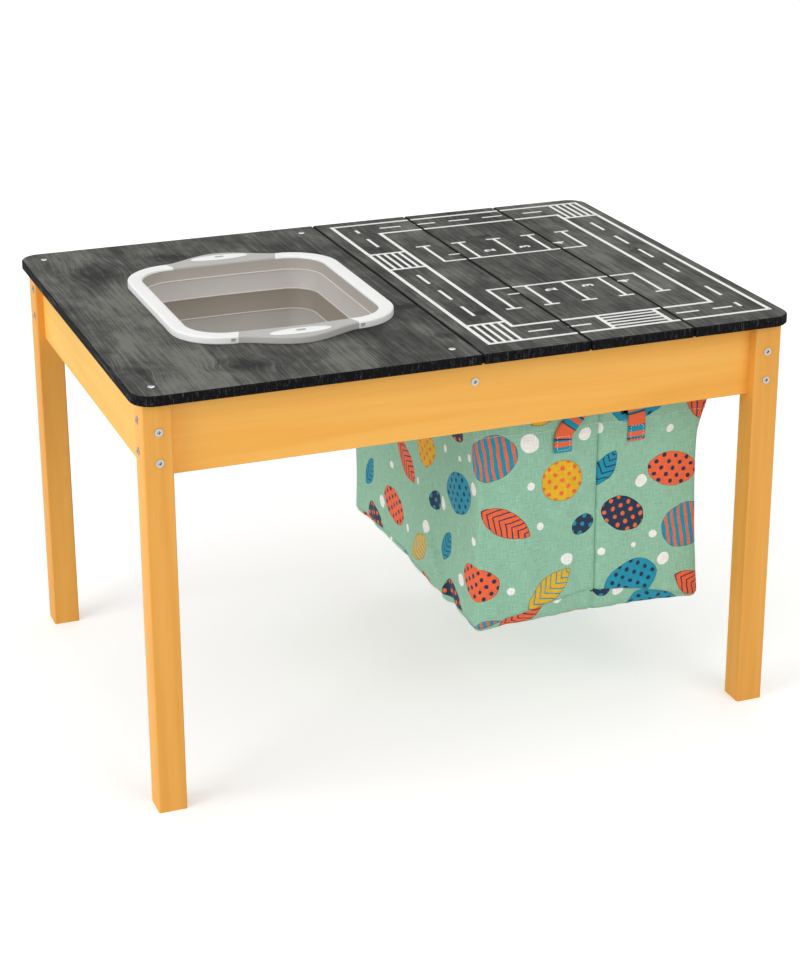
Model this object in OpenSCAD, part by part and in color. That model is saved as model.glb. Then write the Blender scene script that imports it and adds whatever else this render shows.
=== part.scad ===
// Children's play table with a storage bag and a lift-out folding basin.
// Millimetres. The origin is on the floor under the middle of the top; front is -Y, left is -X.

/* [Table top] */
// Width of the whole top, left to right
table_w = 790; // [770:5:810]
// Depth of the whole top, front to back
table_d = 585; // [570:5:610]
// Height of the upper face above the floor
table_h = 500; // [470:5:540]
// Thickness of the top
top_t = 12; // [10:1:16]
// Width of the fixed left-hand panel
panel_w = 396; // [390:1:402]
// Gap between neighbouring boards
board_gap = 1; // [0.5:0.5:2]
// Radius of the top's four corners, seen from above
top_corner_r = 25; // [15:1:30]
// Height of the eased edge round the top
top_ease = 1.5; // [0.5:0.5:2.5]
// Radius of the boards' other corners, seen from above, past the eased edge
board_corner_extra = 0.5; // [0.5:0.5:1.5]

/* [Legs and aprons] */
// Side of the square legs
leg_s = 33; // [30:1:38]
// Radius of the legs' long edges
leg_edge_r = 2; // [1:0.5:4]
// Distance from the top's side edges in to the legs
side_overhang = 10; // [6:1:14]
// Distance from the top's front and back edges in to the legs
end_overhang = 12; // [8:1:16]
// Height of the aprons
apron_h = 88; // [80:1:96]
// Thickness of the aprons and of the board stock they are cut from
apron_t = 15; // [14:1:18]
// Radius of the aprons' long edges
apron_edge_r = 1.5; // [0.5:0.5:3]
// Distance of the front and back aprons behind the legs' faces
front_setback = 14; // [10:1:16]
// Distance of the side aprons behind the legs' faces
side_setback = 10; // [8:1:12]
// Thickness of the cross rail under the panel's right edge
rail_t = 18; // [16:1:20]
// Height of the cross rail
rail_h = 56; // [48:1:64]

/* [Board battens] */
// Height of the battens under the loose boards
batten_h = 12; // [10:1:16]
// Width of the battens, front to back
batten_w = 18; // [14:1:22]
// Distance from a board's long edge to its batten's end
batten_inset = 14; // [12:1:20]
// Clearance between a batten and the frame that it drops into
batten_clear = 2; // [1:0.5:4]

/* [Fasteners] */
// Diameter of the connector bolts
bolt_d = 6; // [5:0.5:6]
// Diameter of the bolts' flat heads
bolt_head_d = 9; // [8:0.5:13]
// Height of the bolts' flat heads
bolt_head_h = 1; // [0.6:0.2:2.4]
// Width of the bolts' hexagon socket
socket_w = 4; // [3:0.5:4]
// Distance between the two bolts of a joint
bolt_spacing = 35; // [30:1:40]
// Distance from the aprons' top down to the upper bolt in a leg's side face
side_bolt_drop = 24; // [22:1:26]
// Extra drop of the bolts in the legs' front and back faces, which clears the side bolts
bolt_stagger = 9; // [8:1:12]
// Diameter of the barrel nuts
nut_d = 10; // [9:0.5:11]
// Length of the barrel nuts
nut_len = 12; // [10:0.5:12.5]
// Distance from a joint's shoulder to the middle of its barrel nut
nut_inset = 25; // [20:1:30]
// Length of bolt past the middle of the nut
bolt_past_nut = 6; // [5:1:8]
// Diameter of the screws in the top
top_screw_d = 4; // [3.5:0.5:4.5]
// Length of the screws in the top
top_screw_len = 28; // [24:1:30]
// Diameter of the top screws' heads
top_screw_head_d = 8; // [7:0.5:9]
// Height of the top screws' heads
top_screw_head_h = 1.2; // [1:0.1:2]
// Distance from the panel's right edge to its right-hand screws
panel_screw_inset = 25; // [20:1:30]
// Diameter of the small screws in battens and rod blocks
small_screw_d = 3.5; // [3:0.5:4]
// Diameter of the small screws' heads
small_screw_head_d = 7; // [6:0.5:8]
// Height of the small screws' heads
small_screw_head_h = 2; // [1.5:0.1:2.5]
// Depth that a small screw reaches into the second piece of wood
small_screw_bite = 8; // [7:0.5:9]
// Distance from a batten's end to its screws
batten_screw_inset = 12; // [10:1:18]

/* [Bag rods] */
// Diameter of the two rods that carry the bag
rod_d = 12; // [10:1:14]
// Distance from the bay's sides to the rods' middles
rod_gap = 13; // [12.5:0.5:16]
// Height of the rods' middles above the aprons' lower edge
rod_rise = 20; // [18:1:24]
// Width of the rod blocks, left to right
block_w = 24; // [22:1:24]
// Thickness of the rod blocks, front to back
block_t = 16; // [14:1:20]
// Height of the rod blocks
block_h = 34; // [30:1:40]
// Distance between the two screws of a rod block
block_screw_gap = 12; // [10:1:14]
// Height of the block's screws above its lower edge
block_screw_rise = 6; // [5:0.5:7]

/* [Storage bag] */
// Width of the bag
bag_w = 300; // [280:5:310]
// Distance from the rod blocks to the bag's front and back walls
bag_end_gap = 22.5; // [15.5:1:35.5]
// Height of the bag from its bottom to its front hem
bag_h = 268; // [230:2:290]
// Distance of the bag's middle from the bay's middle, left negative
bag_offset = -4; // [-8:1:2]
// Distance of the seams and handles from the bag's middle, left negative
seam_offset = 8; // [-12:1:12]
// Thickness of the hemmed cloth
cloth_t = 2; // [1.5:0.5:3]
// Radius of the bag's upright corners
bag_corner_r = 12; // [8:1:20]
// Distance that the front and back hems sag below the rods
hem_sag = 34; // [28:1:40]
// Distance below the rods at which the sides start to lean out to them
flare_h = 84; // [70:1:100]
// Height of the bottom panel's rounded rim
bottom_rise = 12; // [8:1:16]
// Distance that the bottom panel draws in at its lowest face
bottom_draw = 10; // [6:1:14]
// Distance from the bag's corners to where the hem starts to sag
hem_shoulder = 48; // [36:1:60]
// Width of the handles' strap
strap_w = 24; // [20:1:30]
// Thickness of the handles' strap
strap_t = 2; // [1.5:0.5:3]
// Distance between the two ends of a handle, middle to middle
strap_gap = 98; // [88:1:110]
// Distance from the hem down to the straps' stitched ends
strap_drop = 47; // [36:1:60]
// Height of the handles' arch centre above the hem
strap_rise = 14; // [10:1:20]

/* [Basin] */
// Inner width of the basin's mouth
basin_w = 232; // [220:2:240]
// Inner depth of the basin's mouth, front to back, at its sides
basin_d = 268; // [250:2:280]
// Distance that the front and back of the mouth bow out in the middle
basin_bow = 4; // [2:1:6]
// Radius of the mouth's corners
mouth_r = 42; // [36:1:50]
// Width of the rim
rim_w = 18; // [16:1:20]
// Height of the rim above the table top
rim_h = 9; // [7:0.5:12]
// Radius of the rim's upper outer edge
rim_round = 3; // [2:0.5:4]
// Width of the rim's core, which the grips are moulded over
core_w = 6; // [5:0.5:7]
// Thickness of the grips over the core
grip_cover = 3; // [2.5:0.5:3.5]
// Distance from the top's left edge to the rim
basin_margin = 94; // [84:1:100]
// Thickness of the basin's walls
wall_t = 2; // [1.5:0.5:2.5]
// Distance from the rim's upper face down to the collar
collar_lip = 1; // [0.5:0.5:2]
// Height of the basin's collar, from the rim's upper face down to the first ridge
collar_h = 17; // [14:1:22]
// Height of each of the three folding bands
band_h = 24; // [20:1:26]
// Height of the stiff pan at the bottom
pan_h = 35; // [28:1:42]
// Distance that the collar draws in
collar_draw = 2; // [1:0.5:3]
// Distance that each folding band draws in, which leaves room for the fold
band_draw = 4.5; // [4.5:0.5:6]
// Distance that the pan's wall draws in
pan_draw = 5; // [3:0.5:7]
// Radius of the pan's foot
pan_foot_r = 8; // [6:0.5:10]
// Distance that the grips stand out past the rim
grip_reach = 26; // [20:1:30]
// Length of the grips' inlays
inlay_l = 74; // [60:1:84]
// Width of the grips' inlays
inlay_w = 19; // [15:1:22]
// Thickness of the grips' inlays
inlay_t = 1; // [0.8:0.2:1.6]
// Length of the slot in each inlay
slot_l = 12; // [8:1:16]
// Width of the slot in each inlay
slot_w = 6; // [4:0.5:7]

/* [Clearances] */
// Air between a lifted piece and its seat
seat_gap = 0.3; // [0.2:0.1:0.5]
// Air round a bolt or screw in a through hole
hole_clear = 0.25; // [0.15:0.05:0.4]
// Air round a thread in its pilot or nut
thread_clear = 0.05; // [0.02:0.01:0.1]
// Air between the end of a barrel nut and the bottom of its bore
nut_end_gap = 0.25; // [0.1:0.05:0.5]
// Depth of a pilot hole past its screw's tip
pilot_past_tip = 1; // [0.5:0.5:1.5]
// Joint between the rim's core and the grips moulded over it
mould_gap = 0.05; // [0.02:0.01:0.1]
// Air between the basin's wall and the cut-out in the panel
cutout_clear = 4; // [2:0.5:6]

/* [Hidden] */
board_count = 3;
arc_fn = 32;
hair = 0.01;

// Length that a cutting shape reaches past the face it cuts
over = 1;

// Share of a quarter arc's radius that its middle lies in from the corner
arc_mid = 1 - cos(45);

// Exponents of the curves that the grips and the bag's upper edge follow
grip_shape = 0.8;
hem_shape = 1.5;

// Levels
top_z0 = table_h - top_t;
apron_z0 = top_z0 - apron_h;
rail_z0 = top_z0 - rail_h;
side_bolt_zs = [for (i = [0, 1]) top_z0 - side_bolt_drop - i * bolt_spacing];
face_bolt_zs = [for (z = side_bolt_zs) z - bolt_stagger];
rod_z = apron_z0 + rod_rise;

// Plan: half sizes from the middle of the top outwards
half_w = table_w / 2;
half_d = table_d / 2;
leg_out_x = half_w - side_overhang;
leg_out_y = half_d - end_overhang;
leg_x = leg_out_x - leg_s / 2;
leg_y = leg_out_y - leg_s / 2;
leg_in_x = leg_out_x - leg_s;
leg_in_y = leg_out_y - leg_s;
side_apron_x = leg_out_x - side_setback - apron_t / 2;
side_apron_in = side_apron_x - apron_t / 2;
front_apron_y = leg_out_y - front_setback - apron_t / 2;
front_apron_out = front_apron_y + apron_t / 2;
front_apron_in = front_apron_y - apron_t / 2;
panel_x1 = -half_w + panel_w;
rail_x = panel_x1 + board_gap / 2;
board_w = (table_w - panel_w - board_count * board_gap) / board_count;
board_corner_r = top_ease + board_corner_extra;
top_screw_y = (leg_y + front_apron_y) / 2;
panel_screw_x = panel_x1 - panel_screw_inset;

// Battens drop just inside the frame's corners
batten_out_y = min(leg_in_y, front_apron_in) - batten_clear;
batten_x_max = min(leg_in_x, side_apron_in) - batten_clear;
batten_x_min = rail_x + rail_t / 2 + batten_clear;
batten_z0 = top_z0 - batten_h;

// The bay between the cross rail and the right apron, which holds the bag
bay_x0 = rail_x + rail_t / 2;
bay_x1 = min(side_apron_in, leg_in_x);
rod_xs = [bay_x0 + rod_gap, bay_x1 - rod_gap];
rod_len = 2 * (front_apron_in - seat_gap);
block_y = front_apron_in - block_t / 2;
block_notch_r = rod_d / 2 + seat_gap;
block_screw_z = apron_z0 + block_screw_rise;
bag_x = (bay_x0 + bay_x1) / 2 + bag_offset;
seam_x = bag_x + seam_offset;
bag_d = 2 * (front_apron_in - block_t - bag_end_gap);
hem_z = rod_z - hem_sag;
bag_z0 = hem_z - bag_h;
bag_wall_z0 = bag_z0 + bottom_rise;
flare_z = rod_z - flare_h;
sleeve_in_r = rod_d / 2 + seat_gap;
sleeve_r = sleeve_in_r + cloth_t;
bag_top_z = rod_z - (sleeve_in_r + sleeve_r) / 2;
bag_top_reach = [for (s = [-1, 1]) s * (rod_xs[s < 0 ? 0 : 1] - seam_x) + cloth_t / 2];
strap_z0 = hem_z - strap_drop;
strap_arch_z = hem_z + strap_rise;

// Basin: the rim's outer outline, then the wall's inner outline at each ridge
basin_x = -half_w + basin_margin + rim_w + basin_w / 2;
rim_z0 = table_h + seat_gap;
rim_z1 = table_h + rim_h;
collar_z1 = rim_z1 - collar_lip;
ridge_1_z = rim_z1 - collar_h;
ridge_2_z = ridge_1_z - band_h;
ridge_3_z = ridge_2_z - band_h;
ridge_4_z = ridge_3_z - band_h;
pan_z0 = ridge_4_z - pan_h;
draw_1 = collar_draw;
draw_2 = draw_1 + band_draw;
draw_3 = draw_2 + band_draw;
draw_4 = draw_3 + band_draw;
draw_pan = draw_4 + pan_draw;
core_out = wall_t + core_w;
core_z1 = rim_z1 - grip_cover;
core_round = grip_cover / 2;
inlay_y = basin_d / 2 + basin_bow + (rim_w + grip_reach + wall_t) / 2;

// ---------- outlines and small shapes ----------

// How far a grip stands out, from 0 at its ends to 1 in its middle
function grip_curve(x, half) = abs(x) < half ? pow((1 + cos(180 * x / half)) / 2, grip_shape) : 0;

// Points of an outline: those of each corner's arc, and those along its front or back side
arc_n = 8;
side_n = 24;
back_mid = arc_n + side_n / 2;
front_mid = 3 * arc_n + 1 + side_n + side_n / 2;

// Closed outline of a rectangle with round corners, bowed and stood out at front and back; the
// middle points of its front and back side are off the middle by a distance
function outline(half_x, half_y, r, bow = 0, reach = 0, mid = 0) =
  let (
    cx = half_x - r,
    cy = half_y - r,
    arc = function (sx, sy, a0) [
      for (i = [0 : arc_n]) let (a = a0 + 90 * i / arc_n) [sx * cx + r * cos(a), sy * cy + r * sin(a)]
    ],
    side = function (s) [
      for (i = [1 : side_n - 1])
        let (t = 1 - 2 * i / side_n) [s * cx * t + mid * (1 - abs(t)), s * half_y]
    ],
    flat = concat(arc(1, 1, 0), side(1), arc(-1, 1, 90), arc(-1, -1, 180), side(-1), arc(1, -1, 270))
  )
  [
    for (p = flat)
      [p[0], p[1] + sign(p[1]) * (bow * (1 - pow(p[0] / half_x, 2)) + reach * grip_curve(p[0], cx))]
  ];

// Outline of the basin's mouth, grown outwards by a distance, at a height
function basin_ring(grow, z, reach = 0) = [
  for (p = outline(basin_w / 2 + grow, basin_d / 2 + grow, mouth_r + grow, basin_bow, reach))
    [p[0] + basin_x, p[1], z]
];

// Outline of the bag at a height, drawn in by a distance
function bag_ring(inset, z) = [
  let (r = max(bag_corner_r - inset, 1))
    for (p = outline(bag_w / 2 - inset, bag_d / 2 - inset, r, mid = seam_offset))
      [p[0] + bag_x, p[1], z]
];

// Solid through a row of outlines that have the same even number of points, closed on itself
// or with flat ends; an end is a ladder of four-sided faces, whose rungs run across the outline
module loft(rings, closed = false) {
  n = len(rings[0]);
  count = len(rings);
  spans = closed ? count : count - 1;
  sides = [
    for (k = [0 : spans - 1], i = [0 : n - 1])
      let (a = k * n, b = ((k + 1) % count) * n, j = (i + 1) % n)
        each [[b + j, a + j, a + i], [b + i, b + j, a + i]]
  ];
  ladder = [for (k = [0 : n / 2 - 2]) [(n - k) % n, k + 1, k + 2, n - k - 1]];
  far = (count - 1) * n;
  ends = closed ? [] : concat(ladder, [for (q = ladder) [for (i = [3 : -1 : 0]) far + q[i]]]);
  polyhedron(points = [for (r = rings) each r], faces = concat(sides, ends), convexity = 6);
}

// Profile that a stack of rings has at one point of the outline
function station(rings, i) = [for (r = rings) r[i]];

// Wall between two heights of the basin, drawn in from one distance to another
module basin_wall(z_low, draw_low, z_high, draw_high) {
  loft(
    [
      basin_ring(wall_t - draw_low, z_low),
      basin_ring(wall_t - draw_high, z_high),
      basin_ring(-draw_high, z_high),
      basin_ring(-draw_low, z_low)
    ],
    closed = true
  );
}

// Square or bar profile with round edges, centred
module round_profile(a, b, r) {
  square([a - 2 * r, b], center = true);
  square([a, b - 2 * r], center = true);
  for (i = [-1, 1], j = [-1, 1])
    translate([i * (a / 2 - r), j * (b / 2 - r)])
      circle(r, $fn = arc_fn);
}

// Slab of the top between two x positions, with its own corner radius on each side
module top_slab(x0, x1, left_r, right_r) {
  hull()
    for (s = [-1, 1], side = [[x0 + left_r, left_r], [x1 - right_r, right_r]])
      translate([side[0], s * (half_d - side[1]), top_z0]) {
        translate([0, 0, top_ease])
          cylinder(r = side[1], h = top_t - 2 * top_ease, $fn = arc_fn);
        cylinder(r = side[1] - top_ease, h = top_t, $fn = arc_fn);
      }
}

// Flat-head bolt with a hexagon socket: head above z = 0, shank below
module bolt(shank_len) {
  difference() {
    union() {
      cylinder(d = bolt_head_d, h = bolt_head_h, $fn = arc_fn);
      translate([0, 0, -shank_len])
        cylinder(d = bolt_d, h = shank_len + hair, $fn = arc_fn);
    }
    translate([0, 0, -over])
      cylinder(d = socket_w / cos(30), h = bolt_head_h + 2 * over, $fn = 6);
  }
}

// Barrel nut along Z, centred, with its threaded hole along X
module barrel_nut() {
  difference() {
    cylinder(d = nut_d, h = nut_len, center = true, $fn = arc_fn);
    rotate([0, 90, 0])
      cylinder(d = bolt_d + 2 * thread_clear, h = nut_d + 2 * over, center = true, $fn = arc_fn);
  }
}

// Pan-head screw with a cross recess: head above z = 0, shank below
module screw(d, shank_len, head_d, head_h) {
  difference() {
    union() {
      rotate_extrude($fn = arc_fn)
        polygon([[0, 0], [head_d / 2, 0], [head_d / 2, head_h * 0.35], [head_d * 0.36, head_h * 0.85],
          [head_d * 0.2, head_h], [0, head_h]]);
      translate([0, 0, d / 2 - shank_len])
        cylinder(d = d, h = shank_len - d / 2 + hair, $fn = arc_fn);
      translate([0, 0, -shank_len])
        cylinder(d1 = d * 0.3, d2 = d, h = d / 2, $fn = arc_fn);
    }
    for (a = [0, 90])
      rotate([0, 0, a])
        translate([0, 0, head_h])
          cube([head_d * 0.55, head_d * 0.13, head_h], center = true);
  }
}

// ---------- where the fasteners go ----------

bolt_len = leg_s + nut_inset + bolt_past_nut;
rail_bolt_len = apron_t + nut_inset + bolt_past_nut;
rail_bolt_z = rail_z0 + rail_h / 2;
nut_bore_d = nut_d + 2 * hole_clear;
bolt_bore_l = nut_inset + bolt_past_nut + pilot_past_tip;
small_pilot_l = small_screw_bite + pilot_past_tip;
small_pilot_d = small_screw_d + 2 * thread_clear;
small_hole_d = small_screw_d + 2 * hole_clear;

// Places its children on a leg's side face, local +Z pointing away from the table
module on_side_face(sx) {
  translate([sx * leg_out_x, 0, 0])
    rotate([0, sx * 90, 0])
      children();
}

// Bolt holes through one leg, at the corner with signs sx and sy
module leg_holes(sx, sy) {
  for (z = side_bolt_zs)
    translate([sx * leg_x, sy * front_apron_y, z])
      rotate([0, 90, 0])
        cylinder(d = bolt_d + 2 * hole_clear, h = leg_s + 2 * over, center = true, $fn = arc_fn);
  for (z = face_bolt_zs)
    translate([sx * side_apron_x, sy * leg_y, z])
      rotate([90, 0, 0])
        cylinder(d = bolt_d + 2 * hole_clear, h = leg_s + 2 * over, center = true, $fn = arc_fn);
}

// Pilot hole of a top screw, straight down from the upper face
module top_screw_pilot(x, y) {
  translate([x, y, table_h - top_screw_len - pilot_past_tip])
    cylinder(d = top_screw_d + 2 * thread_clear, h = top_screw_len, $fn = arc_fn);
}

// Bolt bore and nut bore in the end of an apron that lies along +X, centred on its thickness;
// the shoulder is at x = 0 and the nut goes in from the inner face at y = apron_t / 2
module apron_end_bores(zs) {
  for (z = zs)
    translate([0, 0, z]) {
      translate([-over, 0, 0])
        rotate([0, 90, 0])
          cylinder(d = bolt_d + 2 * hole_clear, h = bolt_bore_l + over, $fn = arc_fn);
      translate([nut_inset, -nut_len / 2 - nut_end_gap, 0])
        rotate([-90, 0, 0])
          cylinder(d = nut_bore_d, h = apron_t, $fn = arc_fn);
    }
}

// ---------- frame ----------

module leg(sx, sy) {
  color("#F0B05A")
    difference() {
      translate([sx * leg_x, sy * leg_y, 0])
        linear_extrude(height = top_z0)
          round_profile(leg_s, leg_s, leg_edge_r);
      leg_holes(sx, sy);
      if (sx < 0)
        top_screw_pilot(sx * leg_x, sy * top_screw_y);
    }
}

module apron_bar(length) {
  rotate([0, 90, 0])
    linear_extrude(height = length, center = true)
      round_profile(apron_h, apron_t, apron_edge_r);
}

// Front apron for s = -1, back apron for s = 1
module long_apron(s) {
  color("#F4B65E")
    difference() {
      translate([0, s * front_apron_y, apron_z0 + apron_h / 2])
        apron_bar(2 * leg_in_x);
      for (sx = [-1, 1])
        translate([sx * leg_in_x, s * front_apron_y, 0])
          mirror([sx > 0 ? 1 : 0, 0, 0])
            mirror([0, s > 0 ? 1 : 0, 0])
              apron_end_bores(side_bolt_zs);
      translate([rail_x, s * front_apron_y, rail_bolt_z])
        rotate([90, 0, 0])
          cylinder(d = bolt_d + 2 * hole_clear, h = apron_t + 2 * over, center = true, $fn = arc_fn);
      top_screw_pilot(panel_screw_x, s * top_screw_y);
      for (x = rod_xs, i = [-1, 1])
        translate([x + i * block_screw_gap / 2, s * (front_apron_in - over), block_screw_z])
          rotate([-s * 90, 0, 0])
            cylinder(d = small_pilot_d, h = small_pilot_l + over, $fn = arc_fn);
    }
}

// Left apron for s = -1, right apron for s = 1
module short_apron(s) {
  color("#F4B65E")
    difference() {
      translate([s * side_apron_x, 0, apron_z0 + apron_h / 2])
        rotate([0, 0, 90])
          apron_bar(2 * leg_in_y);
      for (sy = [-1, 1])
        translate([s * side_apron_x, sy * leg_in_y, 0])
          rotate([0, 0, -sy * 90])
            mirror([0, s * sy > 0 ? 0 : 1, 0])
              mirror([0, 1, 0])
                apron_end_bores(face_bolt_zs);
    }
}

module cross_rail() {
  color("#E8AC5C")
    difference() {
      translate([rail_x, 0, rail_bolt_z])
        rotate([0, 0, 90])
          rotate([0, 90, 0])
            linear_extrude(height = 2 * front_apron_in, center = true)
              round_profile(rail_h, rail_t, apron_edge_r);
      for (s = [-1, 1]) {
        translate([rail_x, s * (front_apron_in + over), rail_bolt_z])
          rotate([s * 90, 0, 0])
            cylinder(d = bolt_d + 2 * hole_clear, h = bolt_bore_l + over, $fn = arc_fn);
        translate([rail_x + nut_len / 2 + nut_end_gap, s * (front_apron_in - nut_inset), rail_bolt_z])
          rotate([0, -90, 0])
            cylinder(d = nut_bore_d, h = rail_t, $fn = arc_fn);
      }
    }
}

module fixed_panel() {
  cut = wall_t + cutout_clear;
  color("#4B4B47")
    difference() {
      top_slab(-half_w, panel_x1, top_corner_r, board_corner_r);
      translate([basin_x, 0, top_z0 - over])
        linear_extrude(height = top_t + 2 * over)
          round_profile(basin_w + 2 * cut, basin_d + 2 * (basin_bow + cut), mouth_r + cut);
      for (x = [-leg_x, panel_screw_x], s = [-1, 1])
        translate([x, s * top_screw_y, top_z0 - over])
          cylinder(d = top_screw_d + 2 * hole_clear, h = top_t + 2 * over, $fn = arc_fn);
    }
}

// ---------- fasteners of the frame ----------

module panel_screws() {
  color("#C9CCCE")
    for (x = [-leg_x, panel_screw_x], s = [-1, 1])
      translate([x, s * top_screw_y, table_h])
        screw(top_screw_d, top_screw_len, top_screw_head_d, top_screw_head_h);
}

module leg_bolts() {
  color("#C9CCCE")
    for (sx = [-1, 1], sy = [-1, 1]) {
      for (z = side_bolt_zs)
        translate([0, sy * front_apron_y, z])
          on_side_face(sx)
            bolt(bolt_len);
      for (z = face_bolt_zs)
        translate([sx * side_apron_x, sy * leg_out_y, z])
          rotate([-sy * 90, 0, 0])
            bolt(bolt_len);
    }
}

module rail_bolts() {
  color("#C9CCCE")
    for (s = [-1, 1])
      translate([rail_x, s * front_apron_out, rail_bolt_z])
        rotate([-s * 90, 0, 0])
          bolt(rail_bolt_len);
}

module barrel_nuts() {
  color("#B7B9BB") {
    for (sx = [-1, 1], sy = [-1, 1]) {
      for (z = side_bolt_zs)
        translate([sx * (leg_in_x - nut_inset), sy * front_apron_y, z])
          rotate([90, 0, 0])
            barrel_nut();
      for (z = face_bolt_zs)
        translate([sx * side_apron_x, sy * (leg_in_y - nut_inset), z])
          rotate([0, 0, 90])
            rotate([90, 0, 0])
              barrel_nut();
    }
    for (s = [-1, 1])
      translate([rail_x, s * (front_apron_in - nut_inset), rail_bolt_z])
        rotate([0, 0, 90])
          rotate([90, 0, 0])
            barrel_nut();
  }
}

// ---------- bag rods and their blocks ----------

module bag_rod(i) {
  color("#E3B878")
    translate([rod_xs[i], 0, rod_z])
      rotate([90, 0, 0])
        cylinder(d = rod_d, h = rod_len, center = true, $fn = arc_fn);
}

module rod_block(i, s) {
  color("#E3B878")
    translate([rod_xs[i], s * block_y, apron_z0])
      difference() {
        translate([-block_w / 2, -block_t / 2, 0])
          cube([block_w, block_t, block_h]);
        translate([0, 0, rod_rise])
          rotate([90, 0, 0])
            cylinder(r = block_notch_r, h = block_t + 2 * over, center = true, $fn = arc_fn);
        translate([-block_notch_r, -block_t / 2 - over, rod_rise])
          cube([2 * block_notch_r, block_t + 2 * over, block_h]);
        for (k = [-1, 1])
          translate([k * block_screw_gap / 2, 0, block_screw_rise])
            rotate([90, 0, 0])
              cylinder(d = small_hole_d, h = block_t + 2 * over, center = true, $fn = arc_fn);
      }
}

module rod_block_screws() {
  color("#C9CCCE")
    for (x = rod_xs, s = [-1, 1], k = [-1, 1])
      translate([x + k * block_screw_gap / 2, s * (front_apron_in - block_t), block_screw_z])
        rotate([s * 90, 0, 0])
          screw(small_screw_d, block_t + small_screw_bite, small_screw_head_d, small_screw_head_h);
}

// ---------- storage bag ----------

// Height of the bag's upper edge above a point: it sags between the rods
function hem_at(x) =
  let (u = min((bag_w / 2 - abs(x - bag_x)) / hem_shoulder, 1))
    hem_z + (bag_top_z - hem_z) * pow(1 - max(u, 0), hem_shape);

// Point of the flared wall above a point of the bag's outline, at a height; the seams stay upright
function flared(p, z, inset) =
  let (
    lean = max(z - flare_z, 0) / (bag_top_z - flare_z),
    right = p[0] > seam_x,
    span = bag_w / 2 + (right ? -1 : 1) * seam_offset - inset,
    reach = bag_top_reach[right ? 1 : 0] - inset,
    top_x = seam_x + (p[0] - seam_x) / span * reach
  )
    [p[0] + lean * (top_x - p[0]), p[1], z];

// Section through the wall at one point of the bag's outline
function bag_section(outer, inner, i) =
  let (top = hem_at(outer[i][0]), mid = min(flare_z, top - 1))
    [
      outer[i],
      inner[i],
      flared(inner[i], mid, cloth_t),
      flared(inner[i], (mid + top) / 2, cloth_t),
      flared(inner[i], top, cloth_t),
      flared(outer[i], top, 0),
      flared(outer[i], (mid + top) / 2, 0),
      flared(outer[i], mid, 0)
    ];

// Half of the walls: left of the middle seams for s = -1, right of them for s = 1
module bag_half(s) {
  outer = bag_ring(0, bag_wall_z0);
  inner = bag_ring(cloth_t, bag_wall_z0);
  n = len(outer);
  first = s < 0 ? back_mid : front_mid;
  count = s < 0 ? front_mid - back_mid : n - front_mid + back_mid;
  color("#8FC3A6")
    union() {
      loft([for (k = [0 : count]) bag_section(outer, inner, (first + k) % n)]);
      translate([rod_xs[s < 0 ? 0 : 1], 0, rod_z])
        rotate([90, 0, 0])
          difference() {
            cylinder(r = sleeve_r, h = bag_d - 2 * bag_corner_r, center = true, $fn = arc_fn);
            cylinder(r = sleeve_in_r, h = bag_d, center = true, $fn = arc_fn);
          }
    }
}

module bag_bottom() {
  color("#8FC3A6")
    loft([
      bag_ring(bottom_draw, bag_z0),
      bag_ring(bottom_draw * arc_mid, bag_z0 + bottom_rise * arc_mid),
      bag_ring(0, bag_wall_z0),
      bag_ring(cloth_t, bag_wall_z0),
      bag_ring(bottom_draw * arc_mid + cloth_t, bag_z0 + cloth_t + bottom_rise * arc_mid),
      bag_ring(bottom_draw + cloth_t, bag_z0 + cloth_t)
    ]);
}

// Carrying handle: a strap stitched to the outside of the front (s = -1) or the back (s = 1)
module bag_handle(s) {
  strap_out = (strap_gap + strap_w) / 2;
  strap_in = (strap_gap - strap_w) / 2;
  leg_l = strap_arch_z - strap_z0;
  color("#EE7A45")
    translate([seam_x, s * (bag_d + strap_t) / 2, strap_arch_z])
      rotate([90, 0, 0])
        linear_extrude(height = strap_t, center = true)
          difference() {
            union() {
              circle(strap_out, $fn = 2 * arc_fn);
              translate([-strap_out, -leg_l])
                square([2 * strap_out, leg_l]);
            }
            circle(strap_in, $fn = 2 * arc_fn);
            translate([-strap_in, -leg_l - over])
              square([2 * strap_in, leg_l + over]);
          }
}

// ---------- loose boards ----------

function board_x0(n) = panel_x1 + board_gap + (n - 1) * (board_w + board_gap);
function batten_x0(n) = max(board_x0(n) + batten_inset, batten_x_min);
function batten_x1(n) = min(board_x0(n) + board_w - batten_inset, batten_x_max);
function batten_screw_xs(n) = [batten_x0(n) + batten_screw_inset, batten_x1(n) - batten_screw_inset];
batten_y = batten_out_y - batten_w / 2;
batten_screw_len = batten_h + small_screw_bite;

module loose_board(n) {
  right_r = n == board_count ? top_corner_r : board_corner_r;
  color("#4B4B47")
    difference() {
      top_slab(board_x0(n), board_x0(n) + board_w, board_corner_r, right_r);
      for (x = batten_screw_xs(n), s = [-1, 1])
        translate([x, s * batten_y, top_z0 - over])
          cylinder(d = small_pilot_d, h = small_pilot_l + over, $fn = arc_fn);
    }
}

module batten(n, s) {
  color("#E3B878")
    difference() {
      translate([batten_x0(n), s * batten_y - batten_w / 2, batten_z0])
        cube([batten_x1(n) - batten_x0(n), batten_w, batten_h]);
      for (x = batten_screw_xs(n))
        translate([x, s * batten_y, batten_z0 - over])
          cylinder(d = small_hole_d, h = batten_h + 2 * over, $fn = arc_fn);
    }
}

module batten_screws(n) {
  color("#C9CCCE")
    for (x = batten_screw_xs(n), s = [-1, 1])
      translate([x, s * batten_y, batten_z0])
        mirror([0, 0, 1])
          screw(small_screw_d, batten_screw_len, small_screw_head_d, small_screw_head_h);
}

// ---------- basin ----------

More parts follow.
